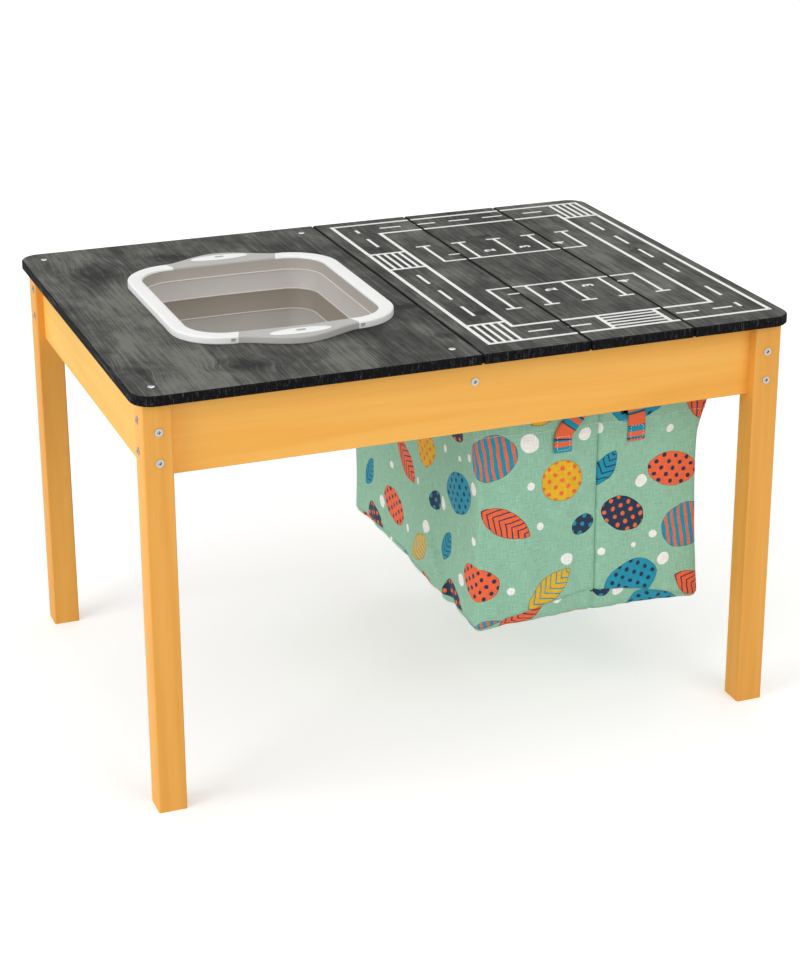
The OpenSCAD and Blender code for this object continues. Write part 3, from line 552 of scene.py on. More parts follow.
lines = frame_lines(*RING) + frame_lines(*INNER)
centre = {"left": RING[0] + ROAD / 2, "right": RING[2] - ROAD / 2,
          "back": RING[3] - ROAD / 2, "front": RING[1] + ROAD / 2}
for road, dashes in DASHES.items():
    c = centre[road]
    for low, high in ((a + DASH / 2, b - DASH / 2) for a, b in dashes):
        lines.append(bar(c, low, c, high, DASH) if road in ("left", "right") else bar(low, c, high, c, DASH))
lines += crossing(RING[0], LEFT_CROSSING[0], INNER[0], LEFT_CROSSING[1], True, LEFT_CROSSING)
lines += crossing(RING[0], RING[1], INNER[0], CORNER_CROSSING_FRONT, True, (CORNER_CROSSING_FRONT,))
lines += crossing(INNER[2], CORNER_CROSSING_BACK, RING[2], RING[3], True, (CORNER_CROSSING_BACK,))
lines += crossing(FRONT_CROSSING[0], RING[1], FRONT_CROSSING[1], INNER[1], False, FRONT_CROSSING)
for base_y, tip_y in BAY_ROWS:
    lines += bays(base_y, tip_y, BAY_X0, BAY_PITCH, BAY_COUNT, BAY_TICK)
print("road:", len(lines), "lines")

# %% [markdown]
# ## White ink
#
# Screen ink is a matt white film, a little worn and thin in places, where the stain greys it. The
# thin places are a few millimetres wide, and only a noise with a narrow ramp draws them.

# %% Ink
# Worn places lie about 4 mm apart.
INK_WEAR_PER_MM = 0.26
ink, put, shader = new_material("white screen ink", Roughness=0.55, IOR=1.5)
wear = put("TexNoise", {"Vector": put("TexCoord", out="Object"), "Detail": 4.0,
                        "Scale": INK_WEAR_PER_MM / MM})
plug(shader, {"Base Color": set_stops(put("ValToRGB", [wear]), (0.3, "#DADAD6"), (0.5, "#F4F4F1"))})
print("ink: worn places about", round(1 / INK_WEAR_PER_MM, 1), "mm apart")


# %% [markdown]
# ## Lay the print on the boards
#
# Where two lines cross, two plates would overlap and flicker. So all rectangles of a board are laid
# on one grid and only the covered cells are filled, which joins them into one plate with no face
# lying inside another. The print stops short of each board's eased edges. Its foot sits a little in
# the wood, so that no light shows under it. The numbers come from Blender's own plain lettering.

# %% Measure the boards
def box_mm(node):
    """A node's lowest and highest corners in millimetres."""
    return [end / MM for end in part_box(node)]


top_z = box_mm("loose_board_1")[1].z
print("boards: top at", round(top_z, 1), "mm")


# %% One plate from many lines
def plate(bm, rects, z_low, z_high):
    """The union of upright rectangles as one flat plate."""
    xs = sorted({v for r in rects for v in (r[0], r[2])})
    ys = sorted({v for r in rects for v in (r[1], r[3])})
    filled = {(i, j) for i in range(len(xs) - 1) for j in range(len(ys) - 1)
              if any(r[0] <= xs[i] and xs[i + 1] <= r[2] and r[1] <= ys[j] and ys[j + 1] <= r[3]
                     for r in rects)}
    made = {}

    def point(i, j, z):
        if (i, j, z) not in made:
            made[i, j, z] = bm.verts.new((xs[i], ys[j], z))
        return made[i, j, z]

    for i, j in sorted(filled):
        corners = ((i, j), (i + 1, j), (i + 1, j + 1), (i, j + 1))
        bm.faces.new([point(a, b, z_high) for a, b in corners])
        bm.faces.new([point(a, b, z_low) for a, b in reversed(corners)])
        beside = ((i, j - 1), (i + 1, j), (i, j + 1), (i - 1, j))
        for (a, b), (c, d), cell in zip(corners, corners[1:] + corners[:1], beside):
            if cell not in filled:
                bm.faces.new((point(a, b, z_low), point(c, d, z_low), point(c, d, z_high),
                              point(a, b, z_high)))


# %% Numbers
# The ink's thickness and how far its foot sits in the wood.
INK, INK_FOOT = 0.12, 0.04
DIGIT_HIGH = 15.0
# How much fuller the strokes are than the lettering's own, for a size of 1.
DIGIT_BOLDER = 0.035


def add_digit(bm, text, x, y):
    """A plain number, lying with its head to the left, as the bays are numbered."""
    letters = bpy.data.curves.new("digit", "FONT")
    letters.body = text
    letters.size = 1.0
    letters.extrude = 0.5
    letters.offset = DIGIT_BOLDER
    shape = bpy.data.objects.new("digit", letters)
    mesh = bpy.data.meshes.new_from_object(shape)
    flat = [v.co.copy() for v in mesh.vertices]
    low = [min(v[k] for v in flat) for k in (0, 1)]
    high = [max(v[k] for v in flat) for k in (0, 1)]
    size = DIGIT_HIGH / (high[1] - low[1])
    made = [bm.verts.new((x - (v[1] - (low[1] + high[1]) / 2) * size,
                          y + (v[0] - (low[0] + high[0]) / 2) * size,
                          top_z - INK_FOOT + (INK + INK_FOOT) * (v[2] + 0.5))) for v in flat]
    for face in mesh.polygons:
        bm.faces.new([made[k] for k in face.vertices])
    bpy.data.objects.remove(shape)


print("numbers:", DIGIT_HIGH, "mm high")


# %% Dress a piece
def dress(piece, material, body=None, node=None):
    """Gives a new piece its material and slot, the body it rides on and the node it stands for."""
    paint_with(piece, material)
    if node:
        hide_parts(node)
    if body:
        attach(piece, body)
    return piece


# %% Print
# How far the print stays off a board's edges, and a number's place in its bay.
EASE = 1.5
DIGIT_FROM_BASE, DIGIT_LEFT = 26, 1.3
for n in BOARDS:
    low, high = box_mm(f"loose_board_{n}")
    x_low, x_high = low.x + EASE, high.x - EASE
    clipped = [(max(a, x_low), b, min(c, x_high), d) for a, b, c, d in lines if c > x_low and a < x_high]
    bm = bmesh.new()
    plate(bm, clipped, top_z - INK_FOOT, top_z + INK)
    for k in range(BAY_COUNT):
        x = BAY_X0 + (k + 0.5) * BAY_PITCH - DIGIT_LEFT
        if x_low < x < x_high:
            for base_y, _ in BAY_ROWS:
                add_digit(bm, str(k + 1), x, base_y + math.copysign(DIGIT_FROM_BASE, base_y))
    road_print = dress(finish_mesh(f"road_print_{n}", bm, sharp=30), ink, f"board_{n}")
    print("print on board", n, len(road_print.data.polygons), "faces")

# %% [markdown]
# ## The basin's outline
#
# The folding basin's mouth is a rectangle with large round corners, and its front and back bow out
# slightly. Every ring of the basin follows that same outline, grown or drawn in by some distance,
# so one function gives the outline at any distance, and the whole basin is skinned from it. The
# sizes come from the frame: the collar gives the mouth, and the rim gives the outer edge.

# %% The basin's sizes
# The wall's thickness, the corners' radius, and how far the front and the back bow out.
WALL = 2.0
MOUTH_R = 42.0
BOW = 4.0
collar_low, collar_high = box_mm("basin_collar")
rim_low, rim_high = box_mm("basin_rim")
basin_x = (collar_low.x + collar_high.x) / 2
mouth_x = (collar_high.x - collar_low.x) / 2 - WALL
mouth_y = (collar_high.y - collar_low.y) / 2 - WALL - BOW
rim_width = (rim_high.x - rim_low.x) / 2 - mouth_x
grip_reach = box_mm("basin_grip_back")[1].y - mouth_y - rim_width - BOW
straight_x = mouth_x - MOUTH_R
straight_y = mouth_y - MOUTH_R
print("basin: mouth", round(2 * mouth_x), "x", round(2 * mouth_y), "rim", round(rim_width, 1),
      "grip reach", round(grip_reach, 1))

# %% One outline for every ring
ARC_STEPS, LONG_STEPS, SIDE_STEPS = 20, 72, 12
# Below 1, a grip's curve is fuller than a plain wave.
GRIP_FULLNESS = 0.8


def stations():
    """Places round the mouth, anticlockwise from the right side's back end."""
    places = []
    for sx, sy, start in ((1, 1, 0), (-1, 1, 90), (-1, -1, 180), (1, -1, 270)):
        places += [("arc", sx, sy, math.radians(start + 90 * k / ARC_STEPS)) for k in range(ARC_STEPS + 1)]
        if sx == sy:
            places += [("long", sy, 0, 1 - 2 * k / LONG_STEPS) for k in range(1, LONG_STEPS)]
        else:
            places += [("side", sx, 0, 1 - 2 * k / SIDE_STEPS) for k in range(1, SIDE_STEPS)]
    return places


def grip_curve(x):
    """How far a grip stands out along the long side, from 0 at its ends to 1 in its middle."""
    if abs(x) >= straight_x:
        return 0.0
    return ((1 + math.cos(math.pi * x / straight_x)) / 2) ** GRIP_FULLNESS


def at(place, grow, z, reach=0.0):
    """The point of the outline at one station, grown outwards by a distance."""
    kind, sx, sy, value = place
    if kind == "arc":
        x = sx * straight_x + (MOUTH_R + grow) * math.cos(value)
        y = sy * straight_y + (MOUTH_R + grow) * math.sin(value)
    elif kind == "long":
        x = sx * straight_x * value
        y = sx * (mouth_y + grow)
    else:
        x = sx * (mouth_x + grow)
        y = -sx * straight_y * value
    bow = BOW * (1 - (x / (mouth_x + grow)) ** 2)
    out = reach * grip_curve(x) if kind == "long" else 0.0
    return Vector((basin_x + x, y + math.copysign(bow + out, y), z))


PLACES = stations()
print("outline:", len(PLACES), "stations")

# %% [markdown]
# ## The basin's materials
#
# The rim is moulded white polypropylene, the grips and the walls are soft thermoplastic rubber.
# Both come out of the mould with a fine spark texture, a grit of about 0.35 mm, which is drawn
# twice that size so that it shows. The stiff rim reflects a broad soft light, the rubber hardly
# any. The bands of the wall differ a little in tone, as thick and thin rubber do.

# %% Moulded plastics
# The real grit in millimetres, and how much coarser it is drawn so that it shows.
SPARK_TEXTURE = 0.35
DRAWN_COARSER = 2.0
# How deep light reaches into the white plastic, in millimetres.
SCATTER_DEEP = 4.0
# Clouds of tone, about 70 mm across.
CLOUDS_PER_MM = 0.014


def moulded(name, colour, roughness, depth, scatter=0.0):
    """Moulded plastic or rubber; scatter lets a little light into it, which softens white edges."""
    # The mould's grit breaks up the shine, so a smooth skin looks soft and even, and the tone drifts
    # a little where the walls cooled at different speeds.
    material, put, shader = new_material("moulded " + name, Roughness=roughness, IOR=1.49,
                                         Subsurface_Weight=scatter, Subsurface_Scale=SCATTER_DEEP * MM)
    place = put("TexCoord", out="Object")
    grit = put("TexNoise", {"Vector": place, "Scale": 1 / (DRAWN_COARSER * SPARK_TEXTURE * MM),
                            "Detail": 2.0})
    clouds = put("TexNoise", {"Vector": place, "Scale": CLOUDS_PER_MM / MM, "Detail": 2.0})
    shade = put("MapRange", {"Value": clouds, "From Min": 0.3, "From Max": 0.7,
                             "To Min": 0.975, "To Max": 1.015})
    plug(shader, {
        "Base Color": put("VectorMath", [linear(colour)[:3], shade], operation="MULTIPLY"),
        "Normal": put("Bump", {"Height": grit, "Strength": depth, "Distance": 0.0002})})
    return material


white_pp = moulded("white polypropylene", "#F3F3F1", 0.4, 0.05, 0.08)
grip_rubber = moulded("grey thermoplastic rubber", "#B8B6B2", 0.55, 0.12)
slot_grey = moulded("grey polypropylene", "#A9A8A6", 0.5, 0.05)
collar_rubber = moulded("taupe thermoplastic rubber", "#AFA9A1", 0.5, 0.1)
pale_rubber = moulded("pale taupe thermoplastic rubber", "#C9C5C0", 0.5, 0.1)
deep_rubber = moulded("deep taupe thermoplastic rubber", "#A1978B", 0.5, 0.1)
# The beads are painted lighter than the bands: a painted highlight along each ridge.
bead_highlight_rubber = moulded("taupe thermoplastic rubber, painted highlight", "#D9D4CE", 0.48, 0.08)
print("plastics: grit drawn at", DRAWN_COARSER * SPARK_TEXTURE, "mm")

# %% [markdown]
# ## Rim and grips
#
# The rim's section is a shallow channel with a flat top, tight edges and an upright outer face.
# Between the two grips it is white, and the grips are grey rubber moulded over the same channel,
# standing out in an ogee so that fingers find them. Where they meet, the white runs on a little
# further along the inner edge, so the joint is cut at a slant, and a small window is moulded in the
# white's outer face beside it, in which a lug of the grip shows. A bevelled curve can't draw a
# section in at one place. So the section is repeated as rows of points along the rim, and one
# function lays a skin between the rows, closes it around either way, or caps its ends.

# %% The rim's section
RIM_TOP, RIM_FOOT = rim_high.z, rim_low.z
FACE = 18.0
WINDOW_HIGH, WINDOW_LOW, WINDOW_DEEP = -2.6, -6.6, 2.4
SECTION = [(0.2, -9.0), (0.2, -2.4), (0.45, -1.2), (1.1, -0.4), (2.2, 0.0), (6.0, 0.0), (11.0, 0.0),
           (15.4, 0.0), (16.5, -0.15), (17.35, -0.6), (17.85, -1.3), (FACE, WINDOW_HIGH + 0.2),
           (FACE, WINDOW_HIGH), (FACE, WINDOW_LOW), (FACE, WINDOW_LOW - 0.2), (FACE, -8.4), (17.7, -8.7),
           (15.6, -8.7), (15.4, -3.6), (13.6, -2.6), (4.4, -2.6), (2.2, -4.0), (2.0, -9.0)]
GRIP_END = 72.0
JOINT_SLANT = 6.0
# A grip stands out more and more across the section, and fully from 1 / OGEE of its width on.
OGEE = 1.25


def rim_section(place, slant=0.0, window=0.0):
    """The channel's section at one station; slant moves its inner edge towards the grip's middle."""
    kind, sx, sy, value = place
    points = []
    for grow, drop in SECTION:
        share = grow / rim_width
        inset = window * WINDOW_DEEP if grow == FACE and WINDOW_LOW <= drop <= WINDOW_HIGH else 0.0
        shifted = value - math.copysign(slant * (1 - share) / straight_x, value) if slant else value
        points.append(at((kind, sx, sy, shifted), grow - inset, max(RIM_TOP + drop, RIM_FOOT),
                         grip_reach * min(1.0, share * OGEE)))
    return points


print("rim: section of", len(SECTION), "points")


# %% Skin a grid of points
def add_skin(bm, rows, wrap_rows=False, wrap_points=False, caps=False):
    """Faces between neighbouring rows of points, which all have the same length."""
    grid = [[bm.verts.new(p) for p in row] for row in rows]
    count, length = len(grid), len(grid[0])
    for i in range(count if wrap_rows else count - 1):
        for j in range(length if wrap_points else length - 1):
            a, b = grid[i], grid[(i + 1) % count]
            k = (j + 1) % length
            bm.faces.new((a[j], a[k], b[k], b[j]))
    if caps:
        bm.faces.new(grid[0])
        bm.faces.new(list(reversed(grid[-1])))
    return grid


# %% Rows along the rim
# Degrees round a corner where the window starts and ends, and how deep it is there.
WINDOW_ANGLES = ((0.5, 0.0), (0.8, 1.0), (5.6, 1.0), (5.9, 0.0))
LUG = [(15.5, WINDOW_HIGH - 0.1), (16.9, WINDOW_HIGH - 0.1),
       (16.9, WINDOW_LOW + 0.1), (15.5, WINDOW_LOW + 0.1)]
LUG_ANGLES = (0.9, 2.4, 3.9, 5.5)


def towards_joint(side, sx):
    """Rows of the white rim between a corner and the slanted joint with a grip."""
    rows = []
    for t in (0.25, 0.5, 0.75, 1.0):
        share = (straight_x + (GRIP_END - straight_x) * t) / straight_x
        rows.append(rim_section(("long", side, 0, side * sx * share), JOINT_SLANT * t))
    return rows


def arc_place(sx, sy, degrees):
    """The station some degrees round a corner from the end of its long side."""
    return ("arc", sx, sy, math.atan2(sy, 0) - sx * sy * math.radians(degrees))


def corner(sx, sy):
    """Rows of one corner, from the long side round to the short one, with the window at its start."""
    angles = [(0.0, 0.0), *WINDOW_ANGLES] + [(90 * k / ARC_STEPS, 0.0) for k in range(2, ARC_STEPS + 1)]
    return [rim_section(arc_place(sx, sy, a), window=deep) for a, deep in angles]


def lug(sx, sy):
    """The small block of a grip that shows in one window."""
    return [[at(arc_place(sx, sy, a), grow, RIM_TOP + drop) for grow, drop in LUG] for a in LUG_ANGLES]


print("rim:", len(corner(1, 1)), "rows in each corner")


# %% Skin the rim
def rim_piece(name, skins, material, node):
    bm = bmesh.new()
    for rows in skins:
        add_skin(bm, rows, wrap_points=True, caps=True)
    dress(finish_mesh(name, bm, sharp=50), material, "basin", node)


for name, sx in (("right", 1), ("left", -1)):
    # The side's rows run from front to back.
    flank = [rim_section(("side", sx, 0, -sx * (2 * k / SIDE_STEPS - 1))) for k in range(1, SIDE_STEPS)]
    rows = towards_joint(-1, sx)[::-1] + corner(sx, -1) + flank + corner(sx, 1)[::-1] + towards_joint(1, sx)
    rim_piece(f"rim_{name}", [rows], white_pp, "basin_rim" if sx > 0 else None)

GRIP_STEPS = 32
for name, side in (("back", 1), ("front", -1)):
    rows = [rim_section(("long", side, 0, side * GRIP_END * k / GRIP_STEPS / straight_x),
                        JOINT_SLANT * abs(k) / GRIP_STEPS) for k in range(-GRIP_STEPS, GRIP_STEPS + 1)]
    rim_piece(f"grip_{name}", [rows, lug(1, side), lug(-1, side)], grip_rubber,
              f"basin_grip_{name}")
print("rim: 2 white halves and 2 grips")


# %% [markdown]
# ## Grip inlays
#
# A white oval badge is pressed into each grip, slightly domed, with a small grey slot in it. A
# flattened sphere would have no edge, so the badge is a stack of ellipses with a tight round one,
# and the slot is a grey pill whose top stands just out of the dome.

# %% Ovals and pills
def oval(half_x, half_y, x, y, z, count=64):
    turns = (2 * math.pi * k / count for k in range(count))
    return [Vector((x + half_x * math.cos(a), y + half_y * math.sin(a), z)) for a in turns]


def pill(half_l, r, x, y, z, count=12):
    points = []
    for sx, start in ((1, -90), (-1, 90)):
        for k in range(count + 1):
            a = math.radians(start + 180 * k / count)
            points.append(Vector((x + sx * (half_l - r) + r * math.cos(a), y + r * math.sin(a), z)))
    return points


# %% Inlays
# The share of the oval's size and the height over the badge's foot of each ellipse.
DOME = ((1.0, 0.0), (1.0, 0.75), (0.985, 1.05), (0.95, 1.25), (0.8, 1.45), (0.5, 1.55))
BADGE_SUNK = 0.6
SLOT_L, SLOT_W = 12.0, 6.0
# How much smaller each ring of the slot is, and its height.
SLOT_RINGS = ((0.0, 0.2), (0.0, 0.98), (0.5, 0.99))
for name in ("front", "back"):
    node = f"basin_inlay_{name}"
    low, high = box_mm(node)
    x, y = (low.x + high.x) / 2, (low.y + high.y) / 2
    half_x, half_y = (high.x - low.x) / 2, (high.y - low.y) / 2
    badge = [oval(half_x * s, half_y * s, x, y, low.z - BADGE_SUNK + rise) for s, rise in DOME]
    slot = [pill(SLOT_L / 2 - s, SLOT_W / 2 - s, x, y, low.z + rise) for s, rise in SLOT_RINGS]
    for piece, rows, material, stands_for in ((f"grip_inlay_{name}", badge, white_pp, node),
                                              (f"grip_slot_{name}", slot, slot_grey, None)):
        bm = bmesh.new()
        add_skin(bm, rows, wrap_points=True, caps=True)
        dress(finish_mesh(piece, bm, sharp=50), material, "basin", stands_for)
print("inlays: 2")

# %% [markdown]
# ## The basin's walls
#
# Under the rim hang a stiff collar and three soft bands, with a thin light bead at each ridge. The
# middle band is the one that turns inside out when the pan is pushed up, so it has to bend between
# the upper part and the pan: it is skinned with many rows. Each band is slightly hollow between its
# ridges, as moulded rubber is.
# The beads' light colour is a painted highlight along each ridge.

# %% Heights and widths of the ridges
ridge_nodes = ["basin_collar", "basin_upper_band", "basin_fold_band", "basin_lower_band", "basin_pan"]
ridge_boxes = {node: box_mm(node) for node in ridge_nodes}
tops = {node: high.z for node, (low, high) in ridge_boxes.items()}
# How far the wall's inner face is drawn in at each ridge.
draws = {node: mouth_x + WALL - (high.x - low.x) / 2 for node, (low, high) in ridge_boxes.items()}
pan_floor = ridge_boxes["basin_pan"][0].z
print("walls: ridges at", [round(tops[n]) for n in ridge_nodes[1:]])


# %% Bands
def ring_skin(bm, section):
    """A closed ring with that section, as pairs of growth and height, right round the basin."""
    add_skin(bm, [[at(p, g, z) for g, z in section] for p in PLACES], wrap_rows=True, wrap_points=True)


def band(name, node, below, material, slot, body=None, rows=14, hollow=1.1):
    """A closed ring of wall from one ridge down to the next."""
    z_high, z_low = min(tops[node], RIM_TOP - 3.0), tops[below]
    inner, outer = [], []
    for k in range(rows + 1):
        t = k / rows
        z = z_high + (z_low - z_high) * t
        out = hollow * math.sin(math.pi * t) - draws[node] - (draws[below] - draws[node]) * t
        inner.append((out, z))
        outer.append((out + WALL, z))
    bm = bmesh.new()
    ring_skin(bm, inner + outer[::-1])
    return dress(finish_mesh(name, bm, sharp=60), material, body, node)


band("wall_collar", "basin_collar", "basin_upper_band", collar_rubber, "taupe_wall", "basin", hollow=0.4)
band("wall_upper_band", "basin_upper_band", "basin_fold_band", pale_rubber, "pale_wall", "basin")
fold = band("wall_fold_band", "basin_fold_band", "basin_lower_band", deep_rubber, "taupe_wall", rows=28)
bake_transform(fold)
band("wall_lower_band", "basin_lower_band", "basin_pan", pale_rubber, "pale_wall", "basin_base")
print("fold band:", len(fold.data.vertices), "points")

# %% Beads
# Each bead is painted lighter than the bands, a painted highlight along its ridge.
BEAD_R = 0.95
# bead: the node at whose top it lies, how far above that, and its body
BEADS = {"bead_collar": ("basin_upper_band", 0.0, "basin"), "bead_upper": ("basin_fold_band", 0.6, "basin"),
         "bead_lower": ("basin_lower_band", -0.6, "basin_base"),
         "bead_pan": ("basin_pan", -0.3, "basin_base")}
for name, (node, lift, body) in BEADS.items():
    bm = bmesh.new()
    turns = [2 * math.pi * k / 10 for k in range(10)]
    ring_skin(bm, [(BEAD_R * math.cos(a) - draws[node], tops[node] + lift + BEAD_R * math.sin(a))
                   for a in turns])
    dress(finish_mesh(name, bm, sharp=80), bead_highlight_rubber, body)
print("beads:", len(BEADS))

# %% [markdown]
# ## The pan
#
# The basin's stiff bottom is a low wall with a round foot and a floor with a shallow sunk field. It
# could be turned from a profile if it were round. As it is a rounded rectangle, an inner and an
# outer skin follow the same outline as the walls, and a lip joins them at the top.

# %% Skin the pan
# How far the pan's wall leans in, the foot's radius and its thinner wall.
PAN_DRAW = 5.0
FOOT_R = 8.0
FOOT_WALL = 1.2
# The sunk field: how far it starts inside the foot, how deep it is, and its slope and flat ring.
FIELD_EDGE, FIELD_DEEP, FIELD_SLOPE, FIELD_FLAT = 12, 0.5, 1, 8


def pan_sections():
    """The pan's inner and outer sections, from its lip down to the floor."""
    top, draw = tops["basin_pan"], draws["basin_pan"]
    low, floor_z, foot = pan_floor, pan_floor + WALL, -draw - PAN_DRAW
    inner = [(-draw, top), (-draw - PAN_DRAW * 0.5, (top + low + WALL + FOOT_R) / 2)]
    for a in (math.radians(15 * k) for k in range(7)):
        inner.append((foot - FOOT_R * (1 - math.cos(a)), floor_z + FOOT_R * (1 - math.sin(a))))
    outer = [(g + (WALL if z > floor_z + 2 else FOOT_WALL), max(low, z - (0 if z > floor_z + 4 else WALL)))
             for g, z in inner]
    edge = foot - FIELD_EDGE
    inner += [(edge, floor_z), (edge - FIELD_SLOPE, floor_z - FIELD_DEEP),
              (edge - FIELD_FLAT, floor_z - FIELD_DEEP)]
    outer += [(inner[-3][0], low), (inner[-1][0], low)]
    return inner, outer


inner, outer = pan_sections()
bm = bmesh.new()
for section in (inner, outer):
    grid = add_skin(bm, [[at(p, g, z) for g, z in section] for p in PLACES], wrap_rows=True)
    bm.faces.new([row[-1] for row in grid])
add_skin(bm, [[at(p, side[0][0], inner[0][1]) for side in (inner, outer)] for p in PLACES], wrap_rows=True)
dress(finish_mesh("basin_floor_pan", bm, sharp=50), collar_rubber, "basin_base", "basin_pan")
print("pan: floor at", round(pan_floor))

# %% [markdown]
# ## The bag's print
#
# The bag is a plain weave of cotton and linen, printed. The print is a generic one of spotted
# pebbles, striped balls and leaves with white dots between them, in teal, navy, orange and mustard
# on sea green. It could be a picture, but a picture blurs close up, so each motif is a small set of
# shader nodes that tests whether a point of the cloth lies inside it. The cloth's own millimetres
# come from its UV map.

# %% The print's motifs
SEA, TEAL, NAVY, ORANGE, MUSTARD, CREAM = "#93C4A8", "#0C92AE", "#17304A", "#F2683A", "#E8B61A", "#F7F6F0"
REPEAT = (270.0, 236.0)
# shape, x, y, half length, half width, turn, ground, figure, colour of the figure
MOTIFS = [
    ("pebble", 58, 62, 37, 26, 18, TEAL, "spots", NAVY),
    ("leaf", 150, 40, 37, 17, -32, ORANGE, "veins", NAVY),
    ("pebble", 222, 86, 27, 26, 0, MUSTARD, "spots", ORANGE),
    ("pebble", 132, 124, 33, 29, 8, TEAL, "bars", ORANGE),
    ("pebble", 46, 152, 31, 21, -28, NAVY, "spots", ORANGE),
    ("leaf", 210, 182, 36, 16, 38, MUSTARD, "veins", TEAL),
    ("pebble", 112, 200, 34, 22, -12, ORANGE, "spots", NAVY),
    ("leaf", 20, 214, 26, 12, 60, TEAL, "veins", NAVY),
    ("pebble", 252, 24, 15, 12, 30, NAVY, "spots", TEAL),
]
# x, y and radius of each white dot
DOTS = [(102, 84, 8), (18, 106, 5), (180, 138, 11.5), (196, 30, 5), (88, 118, 5), (160, 186, 5),
        (70, 190, 8), (252, 140, 8), (104, 18, 5), (182, 84, 5), (232, 218, 8), (62, 108, 3.5), (8, 30, 8)]
print("print:", len(MOTIFS), "motifs and", len(DOTS), "dots in a repeat of", REPEAT)


# %% Tests for a motif's shape
def inside(put, vector, limit):
    """1 where a vector is shorter than the limit."""
    return put("Math", [put("VectorMath", [vector], out="Value", operation="LENGTH"), limit],
               operation="LESS_THAN")


def own_place(put, tile, x, y, turn, scale=(1, 1, 1)):
    """The print's place as seen from a motif: from its middle, turned with it, in its own units."""
    return put("Mapping", {"Vector": tile, "Location": (x, y, 0), "Rotation": (0, 0, math.radians(turn)),
                           "Scale": scale}, vector_type="TEXTURE")


def leaf_place(put, own, half_l, half_w):
    """A leaf is where two round edges overlap: folded on its long axis, it is part of one circle."""
    arc_r = (half_l ** 2 + half_w ** 2) / (2 * half_w)
    along, across, _ = put("SeparateXYZ", [own]).node.outputs
    away = put("Math", [put("Math", [across], operation="ABSOLUTE"), arc_r - half_w], operation="ADD")
    return put("CombineXYZ", [along, away]), arc_r


# %% Figures inside a motif
# A spot every 11 mm; a bar or a vein every 9 mm, of which the figure takes a share.
SPOTS_PER_MM, SPOT_R = 0.088, 0.25
STRIPE_PITCH, BAR_SHARE, VEIN_SHARE = 9.0, 0.4, 0.24
VEIN_SLOPE = -0.9


def figure_mask(put, kind, own):
    """A mask of spots, bars or leaf veins in a motif's own millimetres."""
    if kind == "spots":
        cell = put("VectorMath", [own, (SPOTS_PER_MM, SPOTS_PER_MM, 0), (0.5, 0.5, 0)],
                   operation="MULTIPLY_ADD")
        cell = put("VectorMath", [cell], operation="FRACTION")
        return inside(put, put("VectorMath", [cell, (0.5, 0.5, 0)], operation="SUBTRACT"), SPOT_R)
    along, across, _ = put("SeparateXYZ", [own]).node.outputs
    if kind == "veins":
        away = put("Math", [across], operation="ABSOLUTE")
        along = put("Math", [away, VEIN_SLOPE, along], operation="MULTIPLY_ADD")
    part = put("Math", [put("Math", [along, 1 / STRIPE_PITCH], operation="MULTIPLY")], operation="FRACT")
    return put("Math", [part, BAR_SHARE if kind == "bars" else VEIN_SHARE], operation="LESS_THAN")


print("figures: a spot every", round(1 / SPOTS_PER_MM, 1), "mm, a stripe every", STRIPE_PITCH, "mm")


# %% Print one motif
# The outline's width and how dark it is, and how far the rows of spots are turned.
OUTLINE, OUTLINE_SHADE = 0.9, 0.45
SPOT_TURN = 45


def print_motif(put, tile, cloth, shape, x, y, half_l, half_w, turn, fill, kind, figure_colour):
    """The cloth's colour with one motif printed over it, inside a thin outline of its own tone."""
    if shape == "pebble":
        own = own_place(put, tile, x, y, turn, (half_l, half_w, 1))
        mask, core = inside(put, own, 1.0), inside(put, own, 1.0 - 1.4 * OUTLINE / (half_l + half_w))
    else:
        lens, arc_r = leaf_place(put, own_place(put, tile, x, y, turn), half_l, half_w)
        mask, core = inside(put, lens, arc_r), inside(put, lens, arc_r - OUTLINE)
    figure = figure_mask(put, kind, own_place(put, tile, x, y, turn + (SPOT_TURN if kind == "spots" else 0)))
    filled = put("Mix", {0: figure, 6: linear(fill), 7: linear(figure_colour)}, out=2, data_type="RGBA")
    outline = tuple(OUTLINE_SHADE * c for c in linear(fill)[:3]) + (1.0,)
    motif = put("Mix", {0: core, 6: outline, 7: filled}, out=2, data_type="RGBA")
    return put("Mix", {0: mask, 6: cloth, 7: motif}, out=2, data_type="RGBA")


# %% [markdown]
# ## Printed cotton and linen
#
# The weave shows as slubs: short thicker threads running across and down, dull and a little fuzzy.
# A woven cloth of this kind has about two threads in a millimetre, which is too fine to show, so
# they are drawn about twice as coarse. The motifs' edges wobble slightly, as screen-printed ones do.

# %% Printed cloth
# Threads side by side, slubs along a thread, and the wobble of an edge: one in 20 mm, 2 mm deep.
THREADS_PER_MM, SLUBS_PER_MM = 1.1, 0.07
WOBBLES_PER_MM, WOBBLE = 0.05, 2


